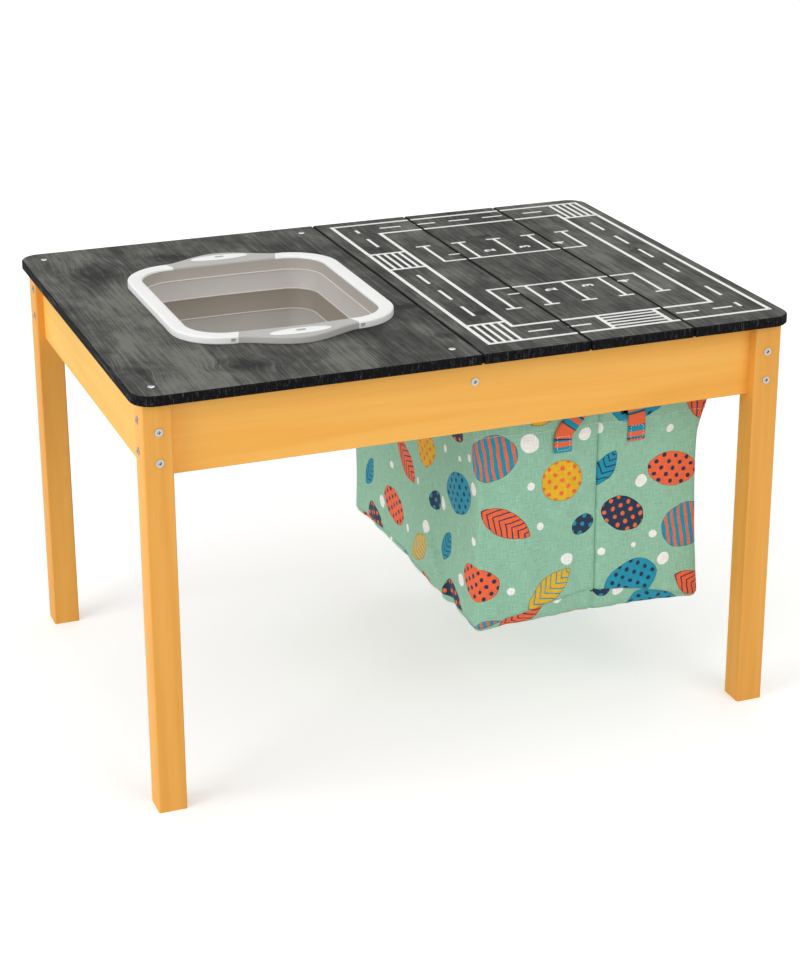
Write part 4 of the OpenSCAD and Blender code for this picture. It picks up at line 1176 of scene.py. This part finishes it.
def printed_cloth(name, shift):
    """Printed cotton and linen; shift moves the cloth's cut within the print, in millimetres."""
    # Woven cotton scatters light, so it is dull, and the loose fibres on it catch light at a low
    # angle: that is the sheen. Its threads show as short streaks that run both ways.
    material, put, shader = new_material(name, Roughness=0.85, IOR=1.46, Sheen_Weight=0.12,
                                         Sheen_Roughness=0.5)
    cloth = put("VectorMath", [put("TexCoord", out="UV"), (1000, 1000, 0), (*shift, 0)],
                operation="MULTIPLY_ADD")
    tile = put("VectorMath", [cloth, (*REPEAT, 1), (0, 0, 0)], operation="WRAP")
    wobble = put("TexNoise", {"Vector": cloth, "Scale": WOBBLES_PER_MM, "Detail": 1.0}, out="Color")
    wobble = put("VectorMath", [wobble, (2 * WOBBLE, 2 * WOBBLE, 0), (-WOBBLE, -WOBBLE, 0)],
                 operation="MULTIPLY_ADD")
    tile = put("VectorMath", [tile, wobble], operation="ADD")
    colour = linear(SEA)
    for motif in MOTIFS:
        colour = print_motif(put, tile, colour, *motif)
    for x, y, r in DOTS:
        dot = inside(put, own_place(put, tile, x, y, 0, (r, r, 1)), 1.0)
        colour = put("Mix", {0: dot, 6: colour, 7: linear(CREAM)}, out=2, data_type="RGBA")

    threads = []
    for scale in ((SLUBS_PER_MM, THREADS_PER_MM, 1), (THREADS_PER_MM, SLUBS_PER_MM, 1)):
        place = put("Mapping", {"Vector": cloth, "Scale": scale})
        threads.append(put("TexNoise", {"Vector": place, "Scale": 1.0, "Detail": 2.0}))
    weave = put("Math", threads, operation="ADD")
    shade = put("MapRange", {"Value": weave, "From Min": 0.7, "From Max": 1.3, "To Min": 0.8, "To Max": 1.17})
    plug(shader, {
        "Base Color": put("VectorMath", [colour, shade], operation="MULTIPLY"),
        "Normal": put("Bump", {"Height": weave, "Strength": 0.35, "Distance": 0.0005})})
    return material


left_print = printed_cloth("printed cotton and linen, left half", (0, 20))
right_print = printed_cloth("printed cotton and linen, right half", (10, 142))
floor_print = printed_cloth("printed cotton and linen, bottom", (60, 150))
print("cloth:", len(left_print.node_tree.nodes), "nodes in each print")

# %% [markdown]
# ## The bag's outline
#
# Two halves of cloth go from the seam in the middle of the front, round one side, to the seam in
# the middle of the back. Each side's upper edge is a sleeve round a rod. The front and back hems
# sag between the rods. The bottom seam climbs towards the middle, where the empty bottom hangs
# slack. All of it is measured along the cloth, so that the print and the stitches can follow.

# %% The bag's sizes
rods = box_mm("bag_rod_left"), box_mm("bag_rod_right")
rod_x = [(low.x + high.x) / 2 for low, high in rods]
rod_z = (rods[0][0].z + rods[0][1].z) / 2
bag_low, bag_high = box_mm("bag_bottom")
strap_low, strap_high = box_mm("bag_handle_front")
BAG_X = (bag_low.x + bag_high.x) / 2
BAG_HALF_X = (bag_high.x - bag_low.x) / 2 - 1.0
BAG_HALF_Y = (bag_high.y - bag_low.y) / 2 - 1.0
BAG_Z0 = bag_low.z
# The corners' radius seen from above.
CORNER = 9.0
SEAM_X = (strap_low.x + strap_high.x) / 2
HEM_Z = strap_low.z + 47.0
# Above this height the sides lean out to their rods.
FLARE_Z = 338.0
SLEEVE_R = 7.3
TOP_Z = rod_z - SLEEVE_R
# How far from the sides the upper edge has come down to the hem.
SHOULDER = 16.0
STITCH_Z = HEM_Z - 19.0
SEAM_LOW, SEAM_CLIMB, SIDE_CLIMB = BAG_Z0 + 4.5, 29.0, 9.0
STRAP_GAP = 98.0
print("bag:", round(2 * BAG_HALF_X), "x", round(2 * BAG_HALF_Y), "from", round(BAG_Z0), "to", round(HEM_Z))


# %% Walk round the bag
def run_length(side):
    """Length of cloth from the seam to where the corner starts to bend."""
    return side * (BAG_X - SEAM_X) + BAG_HALF_X - CORNER


def half_length(side):
    return 2 * run_length(side) + math.pi * CORNER + 2 * (BAG_HALF_Y - CORNER)


def around(side, a):
    """A point of the outline and its outward direction, a millimetres from the front seam."""
    if a > half_length(side) / 2:
        p, n = around(side, half_length(side) - a)
        return Vector((p.x, -p.y)), Vector((n.x, -n.y))
    if a <= run_length(side):
        return Vector((SEAM_X + side * a, -BAG_HALF_Y)), Vector((0, -1))
    a -= run_length(side)
    centre = Vector((BAG_X + side * (BAG_HALF_X - CORNER), CORNER - BAG_HALF_Y))
    if a <= math.pi * CORNER / 2:
        n = Vector((side * math.sin(a / CORNER), -math.cos(a / CORNER)))
        return centre + CORNER * n, n
    return centre + Vector((side * CORNER, a - math.pi * CORNER / 2)), Vector((side, 0))


def bump_at(value, centre, width):
    """A smooth bump of height 1 round a centre."""
    return math.exp(-((value - centre) / width) ** 2)


# %% Upper edge and bottom seam
# The front hem sags most near the right end of its strap.
STRAP_SAG, SAG_X, SAG_WIDE = 13, SEAM_X + 37, 13


def edge_z(p):
    """Height of the cloth's upper edge: at the rods on the sides, sagging between them."""
    u = max(0.0, min(1.0, (BAG_HALF_X + 1 - abs(p.x - BAG_X)) / SHOULDER))
    sag = STRAP_SAG * bump_at(p.x, SAG_X, SAG_WIDE) if p.y < 0 else 0.0
    return HEM_Z + (TOP_Z - HEM_Z) * (1 - u) ** 1.5 - sag


def seam_height(side, a):
    """The bottom seam: lowest at the corners, climbing to the middle of the front and the back."""
    p, n = around(side, a)
    if abs(n.y) > 0.999:
        return SEAM_LOW + SEAM_CLIMB * (1 - (abs(p.x - SEAM_X) / run_length(side)) ** 1.5)
    return SEAM_LOW + SIDE_CLIMB * (1 - (abs(p.y) / BAG_HALF_Y) ** 6)


print("seam: climbs", SEAM_CLIMB, "front and back,", SIDE_CLIMB, "at the sides")


# %% [markdown]
# ## How the cloth hangs
#
# Cloth simulation could hang the halves, but the bag is empty and hangs from two straight rods, so
# its folds are few and known. It is skinned along its outline instead, and every point is moved in
# or out by the folds, creases and puckers that the photograph shows. In what follows, a is the
# place along the cloth, z the height, p the outline's point there and n its outward direction.

# %% Loose folds
# Each size of fold: how many in a millimetre along the cloth and down it, and its height.
FOLDS = ((0.011, 0.005, 5.0), (0.028, 0.006, 4.4), (0.06, 0.03, 0.5))
SEAM_PUCKERS, HEM_PUCKERS = (0.09, 0.012), 0.07


def ripple(along, down, start):
    return noise.noise(Vector((along, down, start)))


def loose_folds(side, a, z, p, n, low):
    """Folds of many sizes, from one in 90 mm along the cloth down to puckers at its edges."""
    starts = (3.0 * side, 9.0 + side, 14.0)
    folds = sum(ripple(a * along, z * down, start) * height
                for (along, down, height), start in zip(FOLDS, starts))
    at_seam = (0.3 + 1.5 * n.y ** 2) * math.exp((low - z) / 26)
    folds += ripple(a * SEAM_PUCKERS[0], z * SEAM_PUCKERS[1], 5.0) * at_seam
    at_hem = 1.4 * math.exp(min(0.0, z - edge_z(p)) / 40)
    return folds + ripple(a * HEM_PUCKERS, 1.0, 7.0) * at_hem


print("folds: one in", [round(1 / along) for along, _, _ in FOLDS], "mm")


# %% Where the cloth is pulled
# How far the empty walls and sides hang in, how the right side spreads at its foot, how far from a
# seam the cloth is free, how deep and wide the seam's tuck is, and the limits of it all.
WALL_HANG, SIDE_HANG, SPREAD = 2.4, {-1: 3.0, 1: 9.0}, {-1: 0.0, 1: 4.0}
FREE_FROM_SEAM, TUCK, TUCK_WIDE = 14, 3.0, 1.7
MOST_IN, MOST_OUT = -13.0, 4.0


def side_crease(p, z):
    """The slanting fold low on the left side, a ridge with a hollow behind it."""
    crease = 0.7 * (p.y + 50 + 0.95 * (200 - z))
    shown = max(0.0, min(1.0, (215 - z) / 40))
    return shown * (3.2 * bump_at(crease, 0, 6) - 3.4 * bump_at(crease, -12, 8))


def strap_pull(p, z, high):
    """A ridge and a hollow below each end of a strap, fading downwards."""
    total = 0.0
    for x in (SEAM_X - STRAP_GAP / 2, SEAM_X + STRAP_GAP / 2):
        pull = math.exp(min(0.0, z - strap_low.z) / 34) * min(1.0, 1.6 - high)
        total += 1.7 * bump_at(p.x, x + 9, 7) * pull - 1.2 * bump_at(p.x, x - 9, 8) * pull
    return total


def billow(side, a, z, p, n, low):
    """How far the cloth stands out of its plain outline, in millimetres."""
    high = max(0.0, min(1.0, (z - low) / (HEM_Z - low)))
    to_seam = min(a, half_length(side) - a)
    total = loose_folds(side, a, z, p, n, low) * min(1.0, to_seam / FREE_FROM_SEAM)
    total -= WALL_HANG * math.sin(math.pi * high) * n.y ** 2
    total -= SIDE_HANG[side] * math.sin(math.pi * high ** 1.05) * n.x ** 2
    total += SPREAD[side] * (1 - high) ** 3 * n.x ** 2
    if side < 0 and n.x < 0:
        total += side_crease(p, z)
    total += strap_pull(p, z, high)
    # The hem is two layers thick. The bottom seam and the seam up the middle draw the cloth in.
    total += 0.7 if z > STITCH_Z else 0.0
    total -= 0.5 * math.exp((low - z) / 2.5)
    total += 1.3 * ripple(side, 2.0, z * 0.07) * bump_at(to_seam, 7, 5)
    total -= TUCK * bump_at(to_seam, 0, TUCK_WIDE)
    return max(MOST_IN, min(MOST_OUT, total))


# %% A point of the wall
def rod_of(side):
    return rod_x[0 if side < 0 else 1]


def wall_point(side, a, z):
    """The cloth's middle sheet at one place along it and one height."""
    p, n = around(side, a)
    lean = max(0.0, z - FLARE_Z) / (TOP_Z - FLARE_Z)
    reach = abs(rod_of(side) - BAG_X)
    top_x = BAG_X + (p.x - BAG_X) / BAG_HALF_X * reach
    out = billow(side, a, z, p, n, seam_height(side, a)) * (1 - 0.9 * lean * n.x ** 2)
    return Vector((p.x + lean * (top_x - p.x) + n.x * out, p.y + n.y * out, z))


print("left side's middle:", [round(v) for v in wall_point(-1, half_length(-1) / 2, 200)])


# %% [markdown]
# ## The two halves
#
# Each half is one grid of points with its columns closer together at the seams, where the cloth
# turns in sharply, and a tube for the sleeve round the rod. Each point also keeps its place on the
# flat cloth as a UV, which is where the print is drawn. A modifier then gives the sheet its
# thickness to both sides, so the seams meet in the middle of the cloth.

# %% Columns, UVs and thickness
# The cloth's thickness, the usual distance of two columns, and the places of those near a seam.
CLOTH = 1.2
COLUMN = 4.2
NEAR_SEAM = [0.0, 0.8, 1.8, 3.0]


def columns(side):
    """Column places along the cloth, closer together at the two seams."""
    length, first = half_length(side), NEAR_SEAM[-1]
    count = int((length - 2 * first) / COLUMN)
    middle = [first + (length - 2 * first) * k / count for k in range(1, count)]
    return NEAR_SEAM + middle + [length - v for v in reversed(NEAR_SEAM)]


def lay_uv(piece, place):
    """Gives every corner of a face its vertex's place on the flat cloth, in metres."""
    layer = piece.data.uv_layers.new(name="cloth")
    for loop in piece.data.loops:
        layer.data[loop.index].uv = place(piece.data.vertices[loop.vertex_index])


def thicken(piece, thickness):
    sheet = piece.modifiers.new("thickness", "SOLIDIFY")
    sheet.thickness = thickness * MM
    sheet.offset = 0


print("columns:", len(columns(-1)), "left and", len(columns(1)), "right")


# %% Skin the two halves
ROWS = 64
SLEEVE_ROWS, SLEEVE_POINTS = 90, 20
# The cloth's length between two of the sleeve's points, and a dent of its surface.
SLEEVE_STEP, SLEEVE_DENT = 2.3, 0.25
sleeve_end = BAG_HALF_Y - CORNER


def wall_rows(side):
    """Columns of the wall's points, and each point's place on the flat cloth."""
    rows, flat = [], []
    for a in columns(side):
        low, top = seam_height(side, a), edge_z(around(side, a)[0])
        heights = [low + (top - low) * k / ROWS for k in range(ROWS + 1)]
        rows.append([wall_point(side, a, z) for z in heights])
        flat += [(side * a * MM, z * MM) for z in heights]
    return rows, flat


def sleeve_rows(side):
    """Rings of the sleeve round its rod, slightly uneven, and their places on the flat cloth."""
    rows, flat = [], []
    for y in (-sleeve_end + 2 * sleeve_end * k / SLEEVE_ROWS for k in range(SLEEVE_ROWS + 1)):
        ring = []
        for i in range(SLEEVE_POINTS):
            angle = 2 * math.pi * i / SLEEVE_POINTS
            r = SLEEVE_R + SLEEVE_DENT * ripple(y * 0.05, math.sin(angle), math.cos(angle))
            ring.append(Vector((rod_of(side) + r * math.cos(angle), y, rod_z + r * math.sin(angle))))
            flat.append((i * SLEEVE_STEP * MM, (y + 500) * MM))
        rows.append(ring)
    return rows, flat


def half(side, name, node, material):
    """One half of the bag, as a sheet that hangs from its rod."""
    wall, wall_flat = wall_rows(side)
    sleeve, sleeve_flat = sleeve_rows(side)
    flat = wall_flat + sleeve_flat
    bm = bmesh.new()
    add_skin(bm, wall)
    add_skin(bm, sleeve, wrap_points=True)
    piece = finish_mesh(name, bm, sharp=180)
    lay_uv(piece, lambda vertex: flat[vertex.index])
    thicken(piece, CLOTH)
    dress(piece, material, "table_frame", node)
    width, height = half_length(side), TOP_Z - SEAM_LOW + 2 * math.pi * SLEEVE_R
    # The bottom seam's climb takes 0.6 of its height off the fronts and 0.86 off the sides on average.
    area = (width - 2 * sleeve_end) * (HEM_Z - SEAM_LOW - 0.6 * SEAM_CLIMB)
    area += 2 * sleeve_end * (height - 0.86 * SIDE_CLIMB)
    print(name, "flat", round(width), "x", round(height), "mm,", len(piece.data.vertices), "points")


half(-1, "bag_cloth_left", "bag_left_half", left_print)
half(1, "bag_cloth_right", "bag_right_half", right_print)

# %% [markdown]
# ## The bag's bottom
#
# The bottom is a separate rectangle of the same cloth, a little larger than the bag's plan. Its
# front and back edges are pulled up by the seam, so a strip of it shows there, folded over to the
# flat part by a soft bend that is tighter at the corners. The flat part hangs slack in the middle.
# It is skinned from the seam inwards, ring by ring, so it meets the walls' folds exactly.

# %% Outline of the bottom
# Where the bend starts and ends, its width for its height, and how far the strip leans in.
BEND_TOP, BEND_FOOT, BEND_DRAW = BAG_Z0 + 15, BAG_Z0 + 2.2, 0.83
STRIP_LEAN = 0.2
SEAM_STEPS, SPOKE_STEPS = 150, 30
SLACK = 1.4


def seam_points():
    """Points right round the bottom seam, each with its outward direction."""
    outline = []
    for side in (-1, 1):
        places = [half_length(side) * k / SEAM_STEPS for k in range(SEAM_STEPS + 1)]
        row = [(wall_point(side, a, seam_height(side, a)), around(side, a)[1]) for a in places]
        outline += row if side < 0 else row[::-1][1:-1]
    return outline


def bend_section(point, n):
    """From just inside the wall, down the strip that shows and round the bend to the flat part."""
    n = Vector((n.x, n.y, 0))
    bend = min(point.z - 0.8, BEND_TOP)
    r = max(2.5, bend - BEND_FOOT)
    lean = STRIP_LEAN * (point.z - bend)
    section = [(-1.6, point.z + 1.4), (-1.4, point.z - 0.8), (-0.9 - lean / 2, (point.z + bend) / 2)]
    section += [(-0.6 - lean - BEND_DRAW * r * (1 - math.cos(math.radians(15 * k))),
                 bend - r * math.sin(math.radians(15 * k))) for k in range(7)]
    return [Vector((point.x, point.y, 0)) + n * grow + Vector((0, 0, z)) for grow, z in section]


def flat_ring(inner, t):
    """The bend's last ring shrunk towards the middle, to a share t, and hanging slack there."""
    centre = Vector((BAG_X, 0, 0))
    ring = []
    for q in inner:
        xy = centre + (q - centre) * t
        slack = SLACK * (1 - t ** 2) * (1 + 0.15 * ripple(xy.x * 0.02, xy.y * 0.02, 4.0))
        ring.append(Vector((xy.x, xy.y, q.z * t + BEND_FOOT * (1 - t) - slack)))
    return ring


print("bottom seam:", len(seam_points()), "points")

# %% Skin the bottom
rows = [list(row) for row in zip(*(bend_section(point, n) for point, n in seam_points()))]
rows += [flat_ring(rows[-1], 1 - k / SPOKE_STEPS) for k in range(1, SPOKE_STEPS)]
bm = bmesh.new()
grid = add_skin(bm, rows, wrap_points=True)
bm.faces.new(grid[-1])
bottom = finish_mesh("bag_cloth_bottom", bm, sharp=90)
lay_uv(bottom, lambda vertex: (vertex.co.x, vertex.co.y + math.copysign(vertex.co.z, vertex.co.y)))
thicken(bottom, CLOTH)
dress(bottom, floor_print, "table_frame", "bag_bottom")

# %% [markdown]
# ## The straps' cloth
#
# Each carrying handle is a strip cut from the same printed cloth, so its colours change along it in
# blocks, where the strip runs over one motif after another. Blocks need no shapes, so one ramp
# without blending gives them.

# %% Strap cloth
# The colours repeat every 34 mm. The real threads are half as wide as those drawn here.
STRAP_REPEAT = 34.0
STRAP_THREADS_PER_MM = 0.9
# Where each colour starts, as a share of the repeat.
BLOCKS = ((0.0, TEAL), (0.2, ORANGE), (0.38, TEAL), (0.44, NAVY), (0.5, ORANGE), (0.96, NAVY))
# It is the bag's cloth, and looks dull and woven as it does.
strap_cloth, put, shader = new_material("printed cotton and linen, straps", Roughness=0.85, IOR=1.46,
                                        Sheen_Weight=0.12)
uv = put("TexCoord", out="UV")
along = put("SeparateXYZ", [uv], out=1)
part = put("Math", [put("Math", [along, 1 / (STRAP_REPEAT * MM)], operation="MULTIPLY")], operation="FRACT")
blocks = put("ValToRGB", [part])
blocks.node.color_ramp.interpolation = "CONSTANT"
threads = put("TexNoise", {"Vector": uv, "Scale": STRAP_THREADS_PER_MM / MM, "Detail": 2.0})
shade = put("MapRange", {"Value": threads, "To Min": 0.86, "To Max": 1.1})
plug(shader, {
    "Base Color": put("VectorMath", [set_stops(blocks, *BLOCKS), shade], operation="MULTIPLY"),
    "Normal": put("Bump", {"Height": threads, "Strength": 0.3, "Distance": 0.0004})})
print("strap cloth:", len(BLOCKS), "blocks in", STRAP_REPEAT, "mm")

# %% [markdown]
# ## Straps
#
# A strap is folded flat and stitched to the outside of the bag at both ends. It is skinned along
# its middle line, with a soft rolled edge. It lies on the cloth below the hem and leans in towards
# the middle above it. The line is drawn from straight legs and an arch, and then smoothed, because
# thick cloth doesn't bend sharply where the stitches end.

# %% The strap's line
STRAP_W, STRAP_T = 22.0, 1.8
# How far the left and the right leg lean in for their height above the sewn part.
STRAP_LEAN = (0.82, 0.14)
SEWN_HIGH = 23.0
# Where the arch springs from the legs.
SPRING = HEM_Z + 14
LEG_STEPS, ARCH_STEPS, SMOOTHINGS = 24, 28, 9


def strap_line():
    """The strap's middle line, seen from the front, as (x from the middle, height)."""
    legs = []
    for s, lean in zip((-1, 1), STRAP_LEAN):
        heights = [(SPRING - strap_low.z) * k / LEG_STEPS for k in range(LEG_STEPS + 1)]
        legs.append([(s * (STRAP_GAP / 2 - lean * max(0.0, h - SEWN_HIGH)), strap_low.z + h)
                     for h in heights])
    left, right = legs[0][-1][0], legs[1][-1][0]
    middle, radius = (left + right) / 2, (right - left) / 2
    rise = strap_high.z - SPRING - STRAP_W / 2
    turns = [math.pi * k / ARCH_STEPS for k in range(1, ARCH_STEPS)]
    arch = [(middle - radius * math.cos(a), SPRING + rise * math.sin(a)) for a in turns]
    line = [Vector(p) for p in legs[0] + arch + legs[1][::-1]]
    for _ in range(SMOOTHINGS):
        line = line[:1] + [(a + 2 * b + c) / 4 for a, b, c in zip(line, line[1:], line[2:])] + line[-1:]
    return line


print("strap line:", len(strap_line()), "points")


# %% Where a strap touches the cloth
# Air under the strap, and how far it comes off the cloth above the hem, over which height.
AIR, OFF_CLOTH, OFF_OVER = 0.1, 3.0, 50


def cloth_y(x, z, side):
    """How far out the front (side -1) or the back wall stands at a place, in millimetres."""
    part = -1 if x < SEAM_X else 1
    a = abs(x - SEAM_X)
    a = a if side < 0 else half_length(part) - a
    return side * wall_point(part, a, min(z, edge_z(Vector((x, side))) - 1)).y


def strap_y(x, z, side):
    """Where the strap's middle sheet lies: on the highest place of the cloth under it."""
    under = max(cloth_y(x + w, z, side) for w in (-10, -5, 0, 5, 10))
    off_cloth = OFF_CLOTH * max(0.0, min(1.0, (z - HEM_Z) / OFF_OVER))
    return side * (under + (CLOTH + STRAP_T) / 2 + AIR + off_cloth)


# %% Skin the straps
ACROSS = 8
EDGE_ROLL = 0.5


def strap(name, side, node):
    """One handle, as a sheet that lies on both halves."""
    line = strap_line()
    rows, flat, run = [], [], 0.0
    for k, point in enumerate(line):
        way = (line[min(len(line) - 1, k + 1)] - line[max(0, k - 1)]).normalized()
        across = Vector((way.y, -way.x))
        run += (point - line[k - 1]).length if k else 0.0
        y = strap_y(SEAM_X + point.x, point.y, side)
        row = []
        for i in range(ACROSS + 1):
            w = (i / ACROSS - 0.5) * STRAP_W
            curl = EDGE_ROLL * (1 - abs(2 * i / ACROSS - 1) ** 3)
            row.append(Vector((SEAM_X + point.x + across.x * w, y + side * curl, point.y + across.y * w)))
            flat.append((w * MM, run * MM))
        rows.append(row)
    bm = bmesh.new()
    add_skin(bm, rows)
    piece = finish_mesh(name, bm, sharp=80)
    lay_uv(piece, lambda vertex: flat[vertex.index])
    thicken(piece, STRAP_T)
    dress(piece, strap_cloth, "table_frame", node)
    print(name, "length", round(run), "mm")


strap("bag_strap_front", -1, "bag_handle_front")
strap("bag_strap_back", 1, "bag_handle_back")

# %% [markdown]
# ## Stitches
#
# White polyester stitches run along the hem and box in the straps' ends. A dashed line in the
# cloth's material would look flat, so each stitch is a short thread that dips into the cloth at
# both ends, and a row of them catches the light as dashes. The thread is twisted from plies, which
# show only as a slight change of tone, drawn a little under a millimetre long.

# %% Thread
PLIES_PER_MM = 1.25
# Polyester thread is smooth and whiter than the cloth, so it stands out without glittering.
thread_white, put, shader = new_material("white polyester thread", Roughness=0.6)
plies = put("TexNoise", {"Vector": put("TexCoord", out="Object"), "Detail": 1.0,
                         "Scale": PLIES_PER_MM / MM})
shade = put("MapRange", {"Value": plies, "To Min": 0.88, "To Max": 1.1})
plug(shader, {"Base Color": put("VectorMath", [linear("#DCE6DC")[:3], shade], operation="MULTIPLY")})

# %% One stitch
STITCH, STITCH_GAP, THREAD = 3.0, 0.9, 0.32
# Along the stitch: the share of its length, the height over the cloth's face, the share of its size.
STITCH_RINGS = ((0.0, -0.2, 0.3), (0.25, 0.35, 1.0), (0.75, 0.35, 1.0), (1.0, -0.2, 0.3))


def add_stitch(bm, a, b, out):
    """One thread from a to b, raised in its middle towards out."""
    wide = (b - a).normalized().cross(out).normalized() * THREAD
    deep = out * THREAD * 0.6
    rows = []
    for t, rise, size in STITCH_RINGS:
        c = a + (b - a) * t + out * (rise + CLOTH / 2)
        turns = [math.pi * 2 * k / 6 for k in range(6)]
        rows.append([c + wide * size * math.cos(q) + deep * size * math.sin(q) for q in turns])
    add_skin(bm, rows, wrap_points=True, caps=True)


print("stitches:", STITCH, "mm long with gaps of", STITCH_GAP, "mm")

# %% Sew the hem
bm = bmesh.new()
count = 0
for side in (-1, 1):
    a = 2.0
    while a < half_length(side) - STITCH:
        ends = [wall_point(side, s, STITCH_Z + 0.01) for s in (a, a + STITCH)]
        add_stitch(bm, *ends, Vector((*around(side, a)[1], 0)))
        a += STITCH + STITCH_GAP
        count += 1
dress(finish_mesh("bag_hem_stitches", bm, sharp=80), thread_white, "table_frame")
print("hem stitches:", count)

# %% Sew the straps
# How far the box of stitches stays inside the strap, and how high it is.
INSET, BOX_HIGH = 3.0, 17.0


def on_strap(x, w, rise, side):
    """A point on the outer face of a strap's end, across and up from its foot."""
    y = strap_y(x, strap_low.z + rise, side) + side * (STRAP_T / 2 + AIR)
    return Vector((x + w, y, strap_low.z + rise))


def sew_box(bm, x, side):
    """A box of stitches in one end of a strap."""
    reach = STRAP_W / 2 - INSET
    corners = [(-reach, INSET), (reach, INSET), (reach, INSET + BOX_HIGH), (-reach, INSET + BOX_HIGH)]
    for a, b in zip(corners, corners[1:] + corners[:1]):
        a, b = Vector(a), Vector(b)
        run = (b - a).length
        pieces = int(run / (STITCH + STITCH_GAP))
        for k in range(pieces):
            ends = [a + (b - a) * t for t in (k / pieces, k / pieces + STITCH / run)]
            add_stitch(bm, *(on_strap(x, *end, side) for end in ends), Vector((0, side, 0)))


bm = bmesh.new()
for side in (-1, 1):
    for x in (SEAM_X - STRAP_GAP / 2, SEAM_X + STRAP_GAP / 2):
        sew_box(bm, x, side)
dress(finish_mesh("bag_strap_stitches", bm, sharp=80), thread_white, "table_frame")
print("strap stitches: a box at each of 4 ends")
